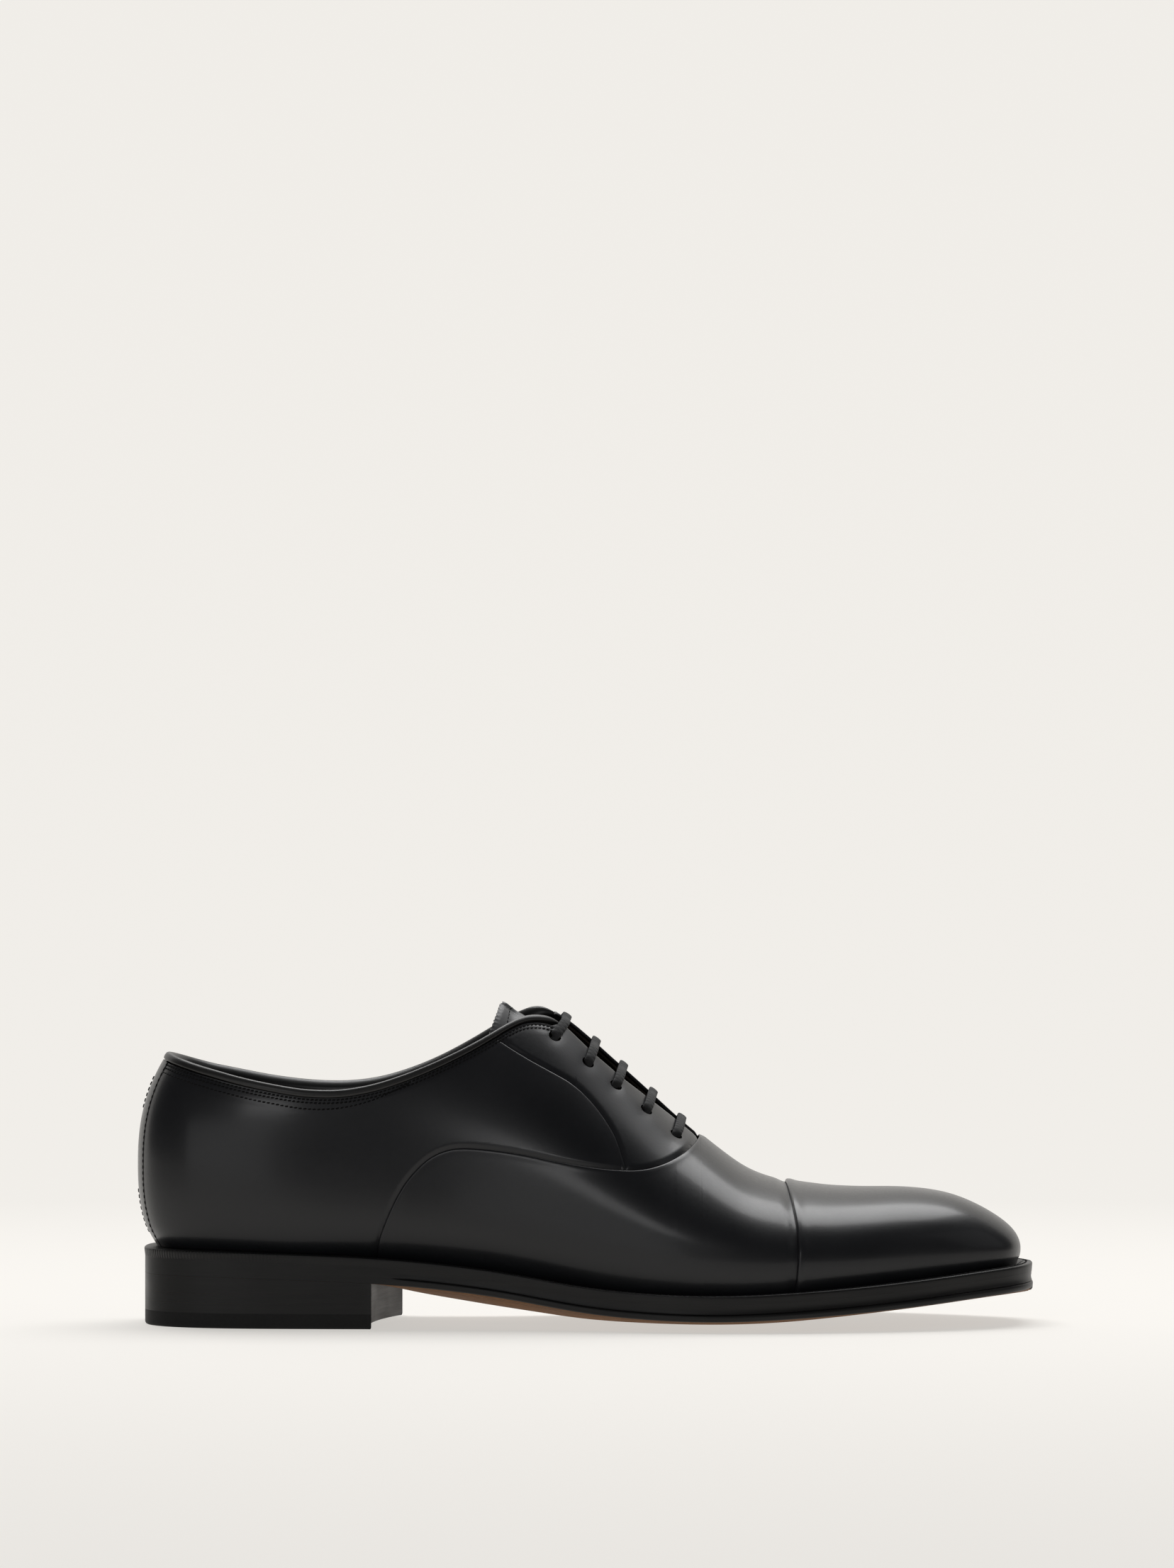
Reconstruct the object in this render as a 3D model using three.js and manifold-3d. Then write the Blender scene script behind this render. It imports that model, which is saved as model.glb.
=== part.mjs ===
// Black leather cap-toe oxford shoe, right foot. Millimetres, +Z up, toe at +X, lateral side at -Y.
// The upper is a family of offset surfaces of one last shape: leather outside, stiffeners, then lining.
import * as THREE from 'three';
import { mergeVertices } from 'three/addons/utils/BufferGeometryUtils.js';
import Module from 'manifold-3d';

const wasm = await Module();
wasm.setup();

// ---- driving dimensions (mm) ----
const UPPER_X0 = -150.6, UPPER_X1 = 147.1;      // back and front of the upper at its widest level
const SOLE_X0 = -149.3, SOLE_X1 = 151.1;        // back and front of the sole
const Y_SHIFT = 1.65;
const ORIGIN = [-0.25, 0.13, 0];                // puts the origin under the middle of the shoe
const LEATHER = [0, 1.1], STIFFENER = [1.7, 2.3], LINING = [3.0, 3.7]; // depths under the outer surface
const TONGUE = [7.2, 8.3], TONGUE_LINING = [8.8, 9.5];
const GAP = 0.2;                                // half of the gap left at every seam
const BINDING_HEIGHT = 2.4;
const FEATHER_GAP = 0.4;                        // upper leather above the welt
const WELT_T = 3.0, OUTSOLE_TOP = 3.75, OUTSOLE_BOTTOM = 8.6;  // below the welt's top surface
const INSOLE = [0.7, 3.0], SOCK = [3.6, 4.6];   // above the welt's top surface
const INSOLE_INSET = 6.2, WELT_WIDTH = 14;
const LACE_R = 1.0, HOLE_R = 2.1, EYELET_R = [1.75, 3.0], LACE_OVER = 1.9, LACE_UNDER = 5.7;
const LIFT_Z = [[0, 5.0], [5.3, 8.4], [8.7, 11.6], [11.9, null]];
const TAIL_LENGTH = 250;

const TAU = Math.PI * 2;
const clamp = (x, a, b) => Math.min(Math.max(x, a), b);
const lerp = (a, b, t) => a + (b - a) * t;

// natural cubic spline
function spline(pts) {
  const n = pts.length, x = pts.map(p => p[0]), y = pts.map(p => p[1]);
  const a = Array(n).fill(0), b = Array(n).fill(1), c = Array(n).fill(0), r = Array(n).fill(0);
  for (let i = 1; i < n - 1; i++) {
    const h0 = x[i] - x[i - 1], h1 = x[i + 1] - x[i];
    a[i] = h0; b[i] = 2 * (h0 + h1); c[i] = h1;
    r[i] = 6 * ((y[i + 1] - y[i]) / h1 - (y[i] - y[i - 1]) / h0);
  }
  for (let i = 1; i < n; i++) { const m = a[i] / b[i - 1]; b[i] -= m * c[i - 1]; r[i] -= m * r[i - 1]; }
  const m = Array(n).fill(0);
  m[n - 1] = r[n - 1] / b[n - 1];
  for (let i = n - 2; i >= 0; i--) m[i] = (r[i] - c[i] * m[i + 1]) / b[i];
  return q => {
    q = clamp(q, x[0], x[n - 1]);
    let i = 0; while (i < n - 2 && q > x[i + 1]) i++;
    const h = x[i + 1] - x[i], s = (x[i + 1] - q) / h, t = (q - x[i]) / h;
    return s * y[i] + t * y[i + 1] + ((s ** 3 - s) * m[i] + (t ** 3 - t) * m[i + 1]) * h * h / 6;
  };
}
const stationOf = (x, x0, x1) => Math.acos(clamp(1 - 2 * (x - x0) / (x1 - x0), -1, 1)) / Math.PI;
const xOf = (u, x0, x1) => (x0 + x1) / 2 - (x1 - x0) / 2 * Math.cos(Math.PI * u);
const along = (x0, x1, tab) => spline(tab.map(([x, y]) => [stationOf(x, x0, x1), y]));
const up = tab => along(UPPER_X0, UPPER_X1, tab), so = tab => along(SOLE_X0, SOLE_X1, tab);
const uX = x => stationOf(x, UPPER_X0, UPPER_X1), xU = u => xOf(u, UPPER_X0, UPPER_X1);

// ---- last shape tables: [X, value] ----
const SIDE_LAT = up([[UPPER_X0, 0], [-148.6, -11.5], [-145.6, -17.6], [-140.6, -23], [-130.6, -28.4], [-115, -31.8], [-97, -33.2], [-80, -33], [-60, -32.8], [-40, -34.2], [-20, -37.2], [0, -41.4], [20, -45.8], [40, -48.8], [55, -49.2], [70, -47.4], [85, -44], [100, -39.6], [115, -34.2], [128, -28.4], [137, -22.8], [142, -18], [145, -12.4], [UPPER_X1, 1]]);
const SIDE_MED = up([[UPPER_X0, 0], [-148.6, 11.5], [-145.6, 17.4], [-140.6, 22.6], [-130.6, 27.6], [-115, 30.2], [-97, 30.6], [-80, 29.6], [-60, 28.2], [-40, 28.2], [-20, 30.2], [0, 34.2], [20, 39.4], [40, 43.8], [55, 46.2], [70, 47], [85, 45.8], [100, 42.4], [115, 37], [128, 30.8], [137, 25], [142, 20], [145, 14.4], [UPPER_X1, 1]]);
const RIDGE_Y = up([[UPPER_X0, 0], [-135, 0.6], [-110, 1.5], [-80, 2.6], [-50, 4], [-25, 5.2], [0, 5.6], [20, 5.4], [40, 4.6], [60, 3.6], [80, 2.6], [100, 2.2], [125, 1.6], [UPPER_X1, 1]]);
const WIDEST_Z = up([[UPPER_X0, 54], [-140, 52.4], [-120, 49.5], [-100, 46.5], [-80, 43.6], [-60, 40.6], [-40, 37.4], [-20, 33.8], [0, 30], [20, 26.4], [40, 23.8], [60, 22.8], [80, 23], [100, 23.8], [120, 24.6], [137, 25], [UPPER_X1, 25]]);
const RIDGE_Z = up([[UPPER_X0, 113], [-135, 114], [-110, 117.5], [-85, 121], [-62, 122.6], [-42, 121], [-27, 116.6], [-16, 111.2], [-7, 104.9], [0.3, 98.4], [8.5, 90.8], [19.6, 80.6], [28.9, 71.8], [38.8, 63.6], [46.2, 57.8], [54.4, 52.2], [61, 49.4], [67, 47.8], [76, 46.6], [87.5, 45.8], [95.6, 45.6], [104, 45.6], [112.2, 45.2], [123, 43.4], [131.3, 40.3], [138.7, 36.2], [144.5, 31.4], [UPPER_X1, 25]]);
const EDGE_Z = spline([[-151, 25.9], [-126, 25.7], [-102, 25], [-80, 24.2], [-64, 23.2], [-45, 21.4], [-30, 19.5], [-16, 17.2], [-2, 14.9], [18, 12.95], [42, 12.2], [66, 13], [90, 14.7], [114, 17], [138, 19.5], [151.6, 20.6]]);
const SAG = spline([[-152, 0], [-90, 0], [-72, 1.2], [-58, 3.4], [-45, 4.6], [-30, 5.2], [-16, 5], [0, 4.5], [18, 3.9], [42, 3.6], [66, 3.6], [90, 2.8], [114, 2.1], [138, 1.5], [152, 1.3]]);
const TUCK_LAT = up([[UPPER_X0, 5.9], [-130, 5], [-100, 4.4], [-60, 4.8], [-30, 4.8], [0, 3.8], [30, 2.8], [60, 2.4], [100, 2.2], [130, 2], [UPPER_X1, 1.8]]);
const TUCK_MED = up([[UPPER_X0, 5.9], [-130, 5], [-100, 4.8], [-60, 6.4], [-30, 7.2], [0, 6], [30, 3.8], [60, 2.6], [100, 2.2], [130, 2], [UPPER_X1, 1.8]]);
const ROUND = up([[UPPER_X0, 2.1], [-100, 2.05], [-60, 1.85], [-30, 1.58], [0, 1.5], [25, 1.55], [45, 1.78], [70, 2.05], [100, 2.2], [130, 2.15], [UPPER_X1, 2]]);
const SOLE_LAT = so([[SOLE_X0, 0], [-148, -12.5], [-145.4, -18.4], [-140, -24.4], [-125, -31.5], [-105, -34.5], [-85, -35.5], [-60, -36.5], [-40, -38.5], [-20, -42], [0, -46.5], [20, -51], [40, -53.8], [60, -53.5], [80, -50.5], [101.6, -45], [121.6, -37.5], [131.6, -32], [141.6, -25], [147, -18], [149.6, -11.5], [SOLE_X1, 2]]);
const SOLE_MED = so([[SOLE_X0, 0], [-148, 12.5], [-145.4, 18], [-140, 23.4], [-125, 29.5], [-105, 32], [-85, 31.5], [-60, 29], [-40, 27.4], [-20, 28.4], [0, 32.4], [20, 39], [40, 45], [55, 49], [70, 50.5], [85, 49], [100, 45.6], [115, 40], [130, 32], [140, 25.4], [147, 18], [149.6, 12], [SOLE_X1, 2]]);
const sag = x => Math.max(SAG(x), 0);

// topline of the quarters: lateral and medial, [X, Z]
const TOP_LAT = [[-150.6, 91.4], [-148.5, 90.7], [-143.7, 89.4], [-137, 87.6], [-130.6, 86.1], [-122.3, 84.2], [-114.3, 82.6], [-106.7, 81.3], [-100.3, 80.3], [-94.6, 79.6], [-86.2, 79.3], [-79.8, 79.7], [-70.3, 81.4], [-59.9, 84.8], [-49.7, 89], [-39.5, 93.9], [-31.8, 98.2], [-28.2, 100.4], [-24, 102.6], [-20.9, 103.8], [-17.7, 104.3], [-13.4, 103.9], [-10, 102.6], [-7.1, 100.7]];
const TOP_MED = [[-150.6, 91.4], [-146.2, 90.1], [-140.5, 88.5], [-134.7, 87], [-128.9, 85.9], [-123.2, 84.9], [-111.9, 82.9], [-100.9, 81.5], [-90.3, 80.7], [-79.9, 80.8], [-69.8, 82.2], [-59.9, 85.2], [-50.1, 89.3], [-40.4, 94.5], [-32, 99.6], [-25.5, 103.6], [-19, 106.5], [-15.8, 106.8], [-12.5, 106.1], [-9.6, 104.7]];
const EDGE_LAT = [[-7.1, 100.7], [-0.4, 94.2], [3.5, 90.6], [8.5, 86.3], [12.8, 82.7], [18.9, 78], [23.3, 74.6], [29.3, 69.9], [34.3, 65.8], [37.6, 63]];
const EDGE_MED = [[-9.6, 104.7], [-4.2, 101], [0.3, 97.2], [4.2, 93.8], [8.6, 89.8], [13, 85.9], [19.7, 79.9], [23.5, 76.4], [29.1, 71.2], [34.1, 66.8], [37.6, 63.9]];
const VAMP_SEAM = [[-69.6, null], [-69.4, 26.4], [-68.7, 30], [-66.7, 35.7], [-63.9, 42.1], [-60.3, 48.5], [-56.3, 53.2], [-52.3, 56.8], [-47.6, 59.2], [-42, 60.3], [-32.4, 59.7], [-21.2, 58.2], [-9.2, 55.7], [2.7, 53.8], [13.3, 52.9], [20.2, 53.3], [26.6, 55.1], [32.3, 57.9], [36.1, 60.4], [37.8, 62]];
const FACING_SEAM = [[-30, 96.4], [-23.1, 91.9], [-16.7, 88.2], [-10.1, 84.7], [-4.6, 81.6], [0.8, 76.8], [5.1, 71.6], [8.4, 66.7], [10.5, 62.6], [12.1, 57.5], [13.3, 53.2]];
const CAP_SEAM = [[1, 67.6], [0.855, 67.9], [0.641, 68.5], [0.465, 69.3], [0.318, 70], [0.161, 70.3], [-0.047, 70.2], [-1, 69.7]]; // [v, X]
const HOLES_LAT = [[-10.4, 97.0], [0.8, 88.2], [10.2, 80.6], [20.4, 72.4], [30.4, 64.2]];
const HOLES_MED = [[-9.8, 99], [1.4, 90], [10.8, 82], [21, 73.4], [30.8, 64.8]];

// outer surface of the shoe: u from heel (0) to toe (1), side -1 lateral or 1 medial,
// v -1 at the feather line, 0 at the widest level, 1 at the ridge
function surf(u, side, v) {
  const X = xU(u), S = side < 0 ? SIDE_LAT : SIDE_MED;
  const ys = S(u), yr = RIDGE_Y(u), zc = WIDEST_Z(u), zr = RIDGE_Z(u), zf = EDGE_Z(X);
  const e = 1e-3, ua = clamp(u - e, 0, 1), ub = clamp(u + e, 0, 1);
  const dx = xU(ub) - xU(ua), dy = S(ub) - S(ua), l = Math.hypot(dx, dy) + 1e-12;
  const nx = (side < 0 ? dy : -dy) / l, ny = (side < 0 ? -dx : dx) / l;
  let x = X, y, z;
  if (v < 0) {
    const t = -v, ins = (side < 0 ? TUCK_LAT : TUCK_MED)(u) * t ** 2.6;
    x -= nx * ins; y = ys - ny * ins; z = zc - t * (zc - zf);
  } else {
    const phi = Math.min(v, 1) * Math.PI / 2, c = Math.max(Math.cos(phi), 0);
    y = yr + (ys - yr) * (c < 1e-9 ? 0 : c ** (2 / ROUND(u))); z = zc + (zr - zc) * Math.sin(phi);
  }
  let g = clamp((-62 - X) / (-62 - UPPER_X0), 0, 1); g = g * g * (3 - 2 * g);
  x += 0.00185 * Math.max(z - 54, 0) ** 2.38 * g;
  return new THREE.Vector3(x, y + Y_SHIFT, z);
}
function normal(u, side, v) {
  const e = 2e-3;
  const uc = clamp(u, 2 * e, 1 - 2 * e), vc = Math.min(v, 1 - 2 * e);
  const a = surf(uc + e, side, vc).sub(surf(uc - e, side, vc));
  const b = surf(uc, side, Math.min(vc + e, 1)).sub(surf(uc, side, Math.max(vc - e, -1)));
  const n = new THREE.Vector3().crossVectors(a, b).multiplyScalar(side < 0 ? 1 : -1).normalize();
  if (u < 1e-6 || u > 1 - 1e-6) { n.y = 0; if (u > 0.5) { n.set(1, 0, 0); } n.normalize(); }
  if (v > 1 - 1e-6) { const m = n.clone(); m.y = 0; n.copy(m.normalize()); if (u > 1 - 1e-6) n.set(1, 0, 0); }
  return n;
}
const depth = (p, d) => surf(p[0], p[1], p[2]).addScaledVector(normal(p[0], p[1], p[2]), -d);
const vOfZ = (u, z) => {
  const zc = WIDEST_Z(u), zr = RIDGE_Z(u), zf = EDGE_Z(xU(u));
  return z >= zc ? Math.asin(clamp((z - zc) / (zr - zc), 0, 1)) * 2 / Math.PI : Math.max(-(zc - z) / (zc - zf), -1);
};
const vFeather = u => -1 + FEATHER_GAP / (WIDEST_Z(u) - EDGE_Z(xU(u)));
const pXZ = (x, z, side) => { const u = uX(x); return [u, side, z === null ? vFeather(u) : Math.max(vOfZ(u, z), vFeather(u))]; };

// point on a polyline at a fraction of its length
function resample(pts, n) {
  const d = [0];
  for (let i = 1; i < pts.length; i++) d.push(d[i - 1] + Math.hypot(pts[i][0] - pts[i - 1][0], pts[i][1] - pts[i - 1][1]));
  const out = [];
  for (let k = 0; k < n; k++) {
    const t = d[d.length - 1] * k / (n - 1); let i = 0;
    while (i < d.length - 2 && t > d[i + 1]) i++;
    const f = (t - d[i]) / (d[i + 1] - d[i]);
    out.push([lerp(pts[i][0], pts[i + 1][0], f), lerp(pts[i][1], pts[i + 1][1], f)]);
  }
  return out;
}
const resolveZ = pts => pts.map(([x, z]) => [x, z === null ? EDGE_Z(x) + FEATHER_GAP : z]);
// moves an X,Z polyline sideways; positive d is to the left of its direction
function shift(pts, d) {
  return pts.map((p, i) => {
    const a = pts[Math.max(i - 1, 0)], b = pts[Math.min(i + 1, pts.length - 1)];
    const l = Math.hypot(b[0] - a[0], b[1] - a[1]) || 1;
    return [p[0] - (b[1] - a[1]) / l * d, p[1] + (b[0] - a[0]) / l * d];
  });
}
const zAt = (pts, x) => { let i = 0; while (i < pts.length - 2 && x > pts[i + 1][0]) i++; return lerp(pts[i][1], pts[i + 1][1], clamp((x - pts[i][0]) / (pts[i + 1][0] - pts[i][0]), 0, 1)); };

// closed solid between two matching grids of points, given as cells of four point ids
function shell(outer, inner, cells) {
  const map = new Map(), id = [], P = [], Q = [];
  outer.forEach((p, i) => {
    const k = [p.x, p.y, p.z].map(c => Math.round(c * 200)).join();
    if (!map.has(k)) { map.set(k, P.length); P.push(p); Q.push(inner[i]); }
    id[i] = map.get(k);
  });
  const tris = [];
  const add = (a, b, c) => { if (a !== b && b !== c && a !== c) tris.push([a, b, c]); };
  for (const [a, b, c, d] of cells) {
    const A = id[a], B = id[b], C = id[c], D = id[d];
    if (P[A].distanceTo(P[C]) <= P[B].distanceTo(P[D])) { add(A, B, C); add(A, C, D); } else { add(A, B, D); add(B, C, D); }
  }
  const edges = new Map();
  for (const t of tris) for (let k = 0; k < 3; k++) edges.set(t[k] + ',' + t[(k + 1) % 3], [t[k], t[(k + 1) % 3]]);
  const n = P.length, all = tris.map(t => t.slice());
  for (const [a, b, c] of tris) all.push([a + n, c + n, b + n]);
  for (const [a, b] of edges.values()) if (!edges.has(b + ',' + a)) all.push([b, a, a + n], [b, a + n, b + n]);
  const V = [...P, ...Q];
  let vol = 0;
  for (const [a, b, c] of all) vol += V[a].dot(new THREE.Vector3().crossVectors(V[b], V[c]));
  const g = new THREE.BufferGeometry();
  g.setAttribute('position', new THREE.Float32BufferAttribute(V.flatMap(p => [p.x, p.y, p.z]), 3));
  g.setIndex((vol < 0 ? all.map(([a, b, c]) => [a, c, b]) : all).flat());
  return g;
}
const gridCells = (ni, nj, base = 0) => {
  const c = [];
  for (let i = 0; i < ni - 1; i++) for (let j = 0; j < nj - 1; j++) c.push([base + i * nj + j, base + i * nj + j + 1, base + (i + 1) * nj + j + 1, base + (i + 1) * nj + j]);
  return c;
};
// patch of the upper from a grid of surface points and two depths
function patch(grids, d0, d1) {
  const pts = [], cells = [];
  for (const g of grids) {
    const b = pts.length, c = gridCells(g.length, g[0].length, b);
    g.forEach(col => pts.push(...col));
    cells.push(...(grids.length > 1 && g[0][0][1] > 0 ? c.map(q => q.slice().reverse()) : c));
  }
  return shell(pts.map(p => depth(p, d0)), pts.map(p => depth(p, d1)), cells);
}
const column = (u0, u1, side, v0, v1, n) => Array.from({ length: n }, (_, j) => { const t = j / (n - 1); return [lerp(u0, u1, t), side, lerp(v0, v1, t)]; });

// ---- solids ----
const toManifold = geo => {
  const g = geo.clone(); g.deleteAttribute('normal'); g.deleteAttribute('uv');
  const m = mergeVertices(g, 1e-4);
  return new wasm.Manifold(new wasm.Mesh({ numProp: 3, vertProperties: new Float32Array(m.attributes.position.array), triVerts: new Uint32Array(m.index.array) }));
};
const toGeometry = man => {
  const m = man.getMesh(), g = new THREE.BufferGeometry();
  g.setAttribute('position', new THREE.Float32BufferAttribute(new Float32Array(m.vertProperties), 3));
  g.setIndex(Array.from(m.triVerts));
  return g;
};
const cut = (geo, tools) => { let a = toManifold(geo); for (const t of tools) a = a.subtract(toManifold(t)); return toGeometry(a); };

const group = new THREE.Group();
const FINISH = {
  calf: [0x28282a, 0.38, 0], calf_cap: [0x2b2b2d, 0.3, 0], edge: [0x232323, 0.42, 0], lining: [0x2f2723, 0.7, 0],
  sole: [0x8a6547, 0.6, 0], insole: [0xb48a5e, 0.8, 0], cork: [0x9a7346, 0.9, 0], steel: [0x8d9094, 0.35, 1],
  lace: [0x202123, 0.85, 0], rubber: [0x1c1c1d, 0.8, 0], stiff: [0xd8d0c0, 0.9, 0], brass: [0xa98b4c, 0.4, 1], aglet: [0x151516, 0.3, 0],
};
function node(name, geo, finish) {
  const [color, roughness, metalness] = FINISH[finish];
  const mesh = new THREE.Mesh(geo, new THREE.MeshStandardMaterial({ color, roughness, metalness }));
  mesh.geometry.translate(...ORIGIN); mesh.name = name; group.add(mesh); return mesh;
}

// ---- upper ----
// every layer shares one lattice of stations (X) and levels (v), so the layers stay parallel
const LEVELS = [-1, -0.4, 0, 0.2, 0.4, 0.6, 0.77, 0.9, 1], V_THROAT = 0.9, X_THROAT = 38.7;
const STATIONS = [-150.6, -149.9, -148, -143.5, -136.5, -126, -114, -101, -84, -69.5, -67.4, -63.5, -58, -48, -39, -30, -19, -9.3, -7.6, 4, 9.5, 12.6, 13.3, 22, 30, 37.2];
const FRONT = [X_THROAT, 47, 57];
const TOE = [80, 95, 109, 122, 133, 141, 145.4];
const xCap = spline(CAP_SEAM.slice().reverse());
const between = (a, b) => STATIONS.filter(x => x > a && x < b);
const slope = (pts, x) => { let i = 0; while (i < pts.length - 2 && x > pts[i + 1][0]) i++; return (pts[i + 1][1] - pts[i][1]) / (pts[i + 1][0] - pts[i][0]); };
const seamPts = VAMP_SEAM.map(([x, z]) => [x, z === null ? EDGE_Z(x) : z]).concat([[X_THROAT, 63.4]]);
const onStations = (pts, x) => { // height of a seam as the chords between stations draw it
  const X = [...STATIONS, X_THROAT]; let i = 0; while (i < X.length - 2 && x > X[i + 1]) i++;
  return lerp(zAt(pts, X[i]), zAt(pts, X[i + 1]), clamp((x - X[i]) / (X[i + 1] - X[i]), 0, 1));
};
const gapZ = (pts, x) => GAP * Math.max(Math.hypot(1, slope(pts, x - 0.3)), Math.hypot(1, slope(pts, x + 0.3)));
const topLine = side => (side < 0 ? TOP_LAT.concat(EDGE_LAT.slice(1)) : TOP_MED.concat(EDGE_MED.slice(1)));
const zTop = (side, x) => zAt(topLine(side), x) - (x < -8.4 ? BINDING_HEIGHT + 0.55 : 0);
const limits = (u, z) => Math.max(vOfZ(u, z), vFeather(u));
function wall(side, xs, low, high) {
  return xs.map(x => {
    const u = uX(x), lo = low ? limits(u, low(x)) : vFeather(u), hi = Math.max(high.v ? high.v : limits(u, high(x)), lo);
    return LEVELS.map(v => [u, side, clamp(v, lo, hi)]);
  });
}
const mirrorRound = (xs, low, high) => [...wall(-1, xs.slice().reverse(), low, high(-1)), ...wall(1, xs, low, high(1)).slice(xs[0] <= UPPER_X0 ? 1 : 0)];
// full girth between two lists of stations; a station may be a function of v
const girth = (side, xs) => xs.map(x => LEVELS.map(v => { const u = uX(typeof x === 'function' ? x(v) : x); return [u, side, Math.max(v, vFeather(u))]; }));
const bothSides = f => [f(-1), f(1)];
node('toe_cap', patch(bothSides(s => girth(s, [v => xCap(v) + GAP, ...TOE, UPPER_X1])), ...LEATHER), 'calf_cap');
const vampWing = s => wall(s, [...between(-69.6, 38), X_THROAT], null, Object.assign(x => zAt(seamPts, x) - gapZ(seamPts, x), {}));
node('vamp', patch([...bothSides(s => {
  const w = vampWing(s), u = uX(X_THROAT); w[w.length - 1] = LEVELS.map(v => [u, s, clamp(v, vFeather(u), V_THROAT)]); return w;
}), ...bothSides(s => girth(s, [...FRONT, v => xCap(v) - GAP]))], ...LEATHER), 'calf');

const facingLow = x => x <= 13.3 ? zAt(FACING_SEAM, x) : zAt(seamPts, x);
const facingGap = x => gapZ(x <= 13.2 ? FACING_SEAM : seamPts, x);
const quarterLow = x => x <= -69.4 ? EDGE_Z(x) + FEATHER_GAP : zAt(seamPts, x) + gapZ(seamPts, x);
const quarterHigh = side => x => x < -30.5 ? zTop(side, x) : Math.max(zAt(FACING_SEAM, x) - gapZ(FACING_SEAM, x), zAt(seamPts, x) + gapZ(seamPts, x));
const holes = side => (side < 0 ? HOLES_LAT : HOLES_MED).map(([x, z]) => { const p = pXZ(x, z, side); return { p, side, xz: [x, z], n: normal(...p), c: surf(...p) }; });
const Yaxis = new THREE.Vector3(0, 1, 0);
function drill(h, r, from, to, sides = 8) {
  const g = new THREE.CylinderGeometry(r, r, to - from, sides);
  g.applyQuaternion(new THREE.Quaternion().setFromUnitVectors(Yaxis, h.n));
  const c = h.c.clone().addScaledVector(h.n, -(from + to) / 2);
  return g.translate(c.x, c.y, c.z);
}
const STRIP_X = -148;                    // the back strip covers the seam behind this station
const facingXs = [-29.5, ...between(-29.5, 38)];
for (const [side, nm] of [[-1, 'lateral'], [1, 'medial']]) {
  node('quarter_' + nm, patch([wall(side, [STRIP_X + 0.4, ...between(STRIP_X + 1, -69), -69.2, ...between(-69, 13.2)], quarterLow, quarterHigh(side))], ...LEATHER), 'calf');
  node('facing_' + nm, cut(patch([wall(side, facingXs, x => facingLow(x) + facingGap(x), x => zTop(side, x))], ...LEATHER), holes(side).map(h => drill(h, HOLE_R, -3, 2.2))), 'calf');
}
// strip over the back seam
node('back_strip', patch([mirrorRound([-150.6, -149.9, STRIP_X], null, s => x => zTop(s, x))], ...LEATHER), 'calf');
// binding round the top line, from the lateral front corner round the heel to the medial front corner
{
  const cols = [], xs = [...STATIONS.filter(x => x < -9.5), -18, -11.6, -9.8].sort((a, b) => a - b);
  const add = (x, s) => { const z = zAt(topLine(s), x), u = uX(x); cols.push([0, 1].map(k => [u, s, vOfZ(u, z - BINDING_HEIGHT * (1 - k))])); };
  xs.slice().reverse().forEach(x => add(x, -1)); xs.slice(1).forEach(x => add(x, 1));
  node('topline_binding', patch([cols], -0.15, 3.75), 'calf');
}
// stiffeners between leather and lining
node('toe_puff', patch(bothSides(s => girth(s, [v => xCap(v) + 4, ...TOE, UPPER_X1])), ...STIFFENER), 'stiff');
node('heel_counter', patch([mirrorRound(STATIONS.filter(x => x < -100), null, () => x => 62 - (x + 150) * 0.16)], ...STIFFENER), 'stiff');
for (const [side, nm] of [[-1, 'lateral'], [1, 'medial']])
  node('facing_stay_' + nm, cut(patch([wall(side, between(-16, 36), x => Math.max(facingLow(x) + 2.5, zTop(side, x) - 21), x => zTop(side, x) - 0.6)], ...STIFFENER), holes(side).map(h => drill(h, 3.4, 0.5, 3.0))), 'stiff');
// linings
const X_HEEL_LIN = -101;
node('vamp_lining', patch(bothSides(s => girth(s, [X_THROAT + 0.2, ...FRONT.slice(1), xCap, ...TOE, UPPER_X1])), ...LINING), 'lining');
for (const [side, nm] of [[-1, 'lateral'], [1, 'medial']])
  node('quarter_lining_' + nm, cut(patch([wall(side, [X_HEEL_LIN + 0.4, ...between(X_HEEL_LIN + 1, 38), 38.3], null, x => zTop(side, x) - 0.2)], ...LINING), holes(side).map(h => drill(h, HOLE_R + 0.5, 1.8, 5))), 'lining');
node('heel_lining', patch([mirrorRound(STATIONS.filter(x => x < X_HEEL_LIN + 1), null, s => x => zTop(s, x))], ...LINING), 'lining');
// tongue and its lining, stitched to the vamp at the throat
{
  const grid = (inset) => {
    const cols = [];
    for (let i = 0; i < 7; i++) {
      const x = lerp(-26 + inset, 44 - inset, i / 6), u = uX(x), half = lerp(0.60, 0.78, i / 6) + inset * 0.01;
      const c = []; for (let j = -3; j <= 3; j++) { const s = j < 0 ? -1 : 1, v = lerp(1, half, Math.abs(j) / 3); c.push([u, s, v]); }
      cols.push(c);
    }
    return cols;
  };
  const rise = t => t;
  node('tongue', patch([grid(0)], ...TONGUE), 'calf');
  node('tongue_lining', patch([grid(1.2)], ...TONGUE_LINING), 'lining');
}
// blind eyelets between facing and lining
for (const [side, nm] of [[-1, 'lateral'], [1, 'medial']]) holes(side).forEach((h, i) => {
  const [a, b] = EYELET_R, prof = [[a, 1.9], [b, 1.9], [b, 2.55], [a, 2.55], [a, 1.9]].map(([r, d]) => new THREE.Vector2(r, -d));
  const g = new THREE.LatheGeometry(prof.reverse(), 6);
  g.applyQuaternion(new THREE.Quaternion().setFromUnitVectors(Yaxis, h.n)).translate(h.c.x, h.c.y, h.c.z);
  node(`eyelet_${nm}_${i + 1}`, g, 'brass');
});

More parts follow.
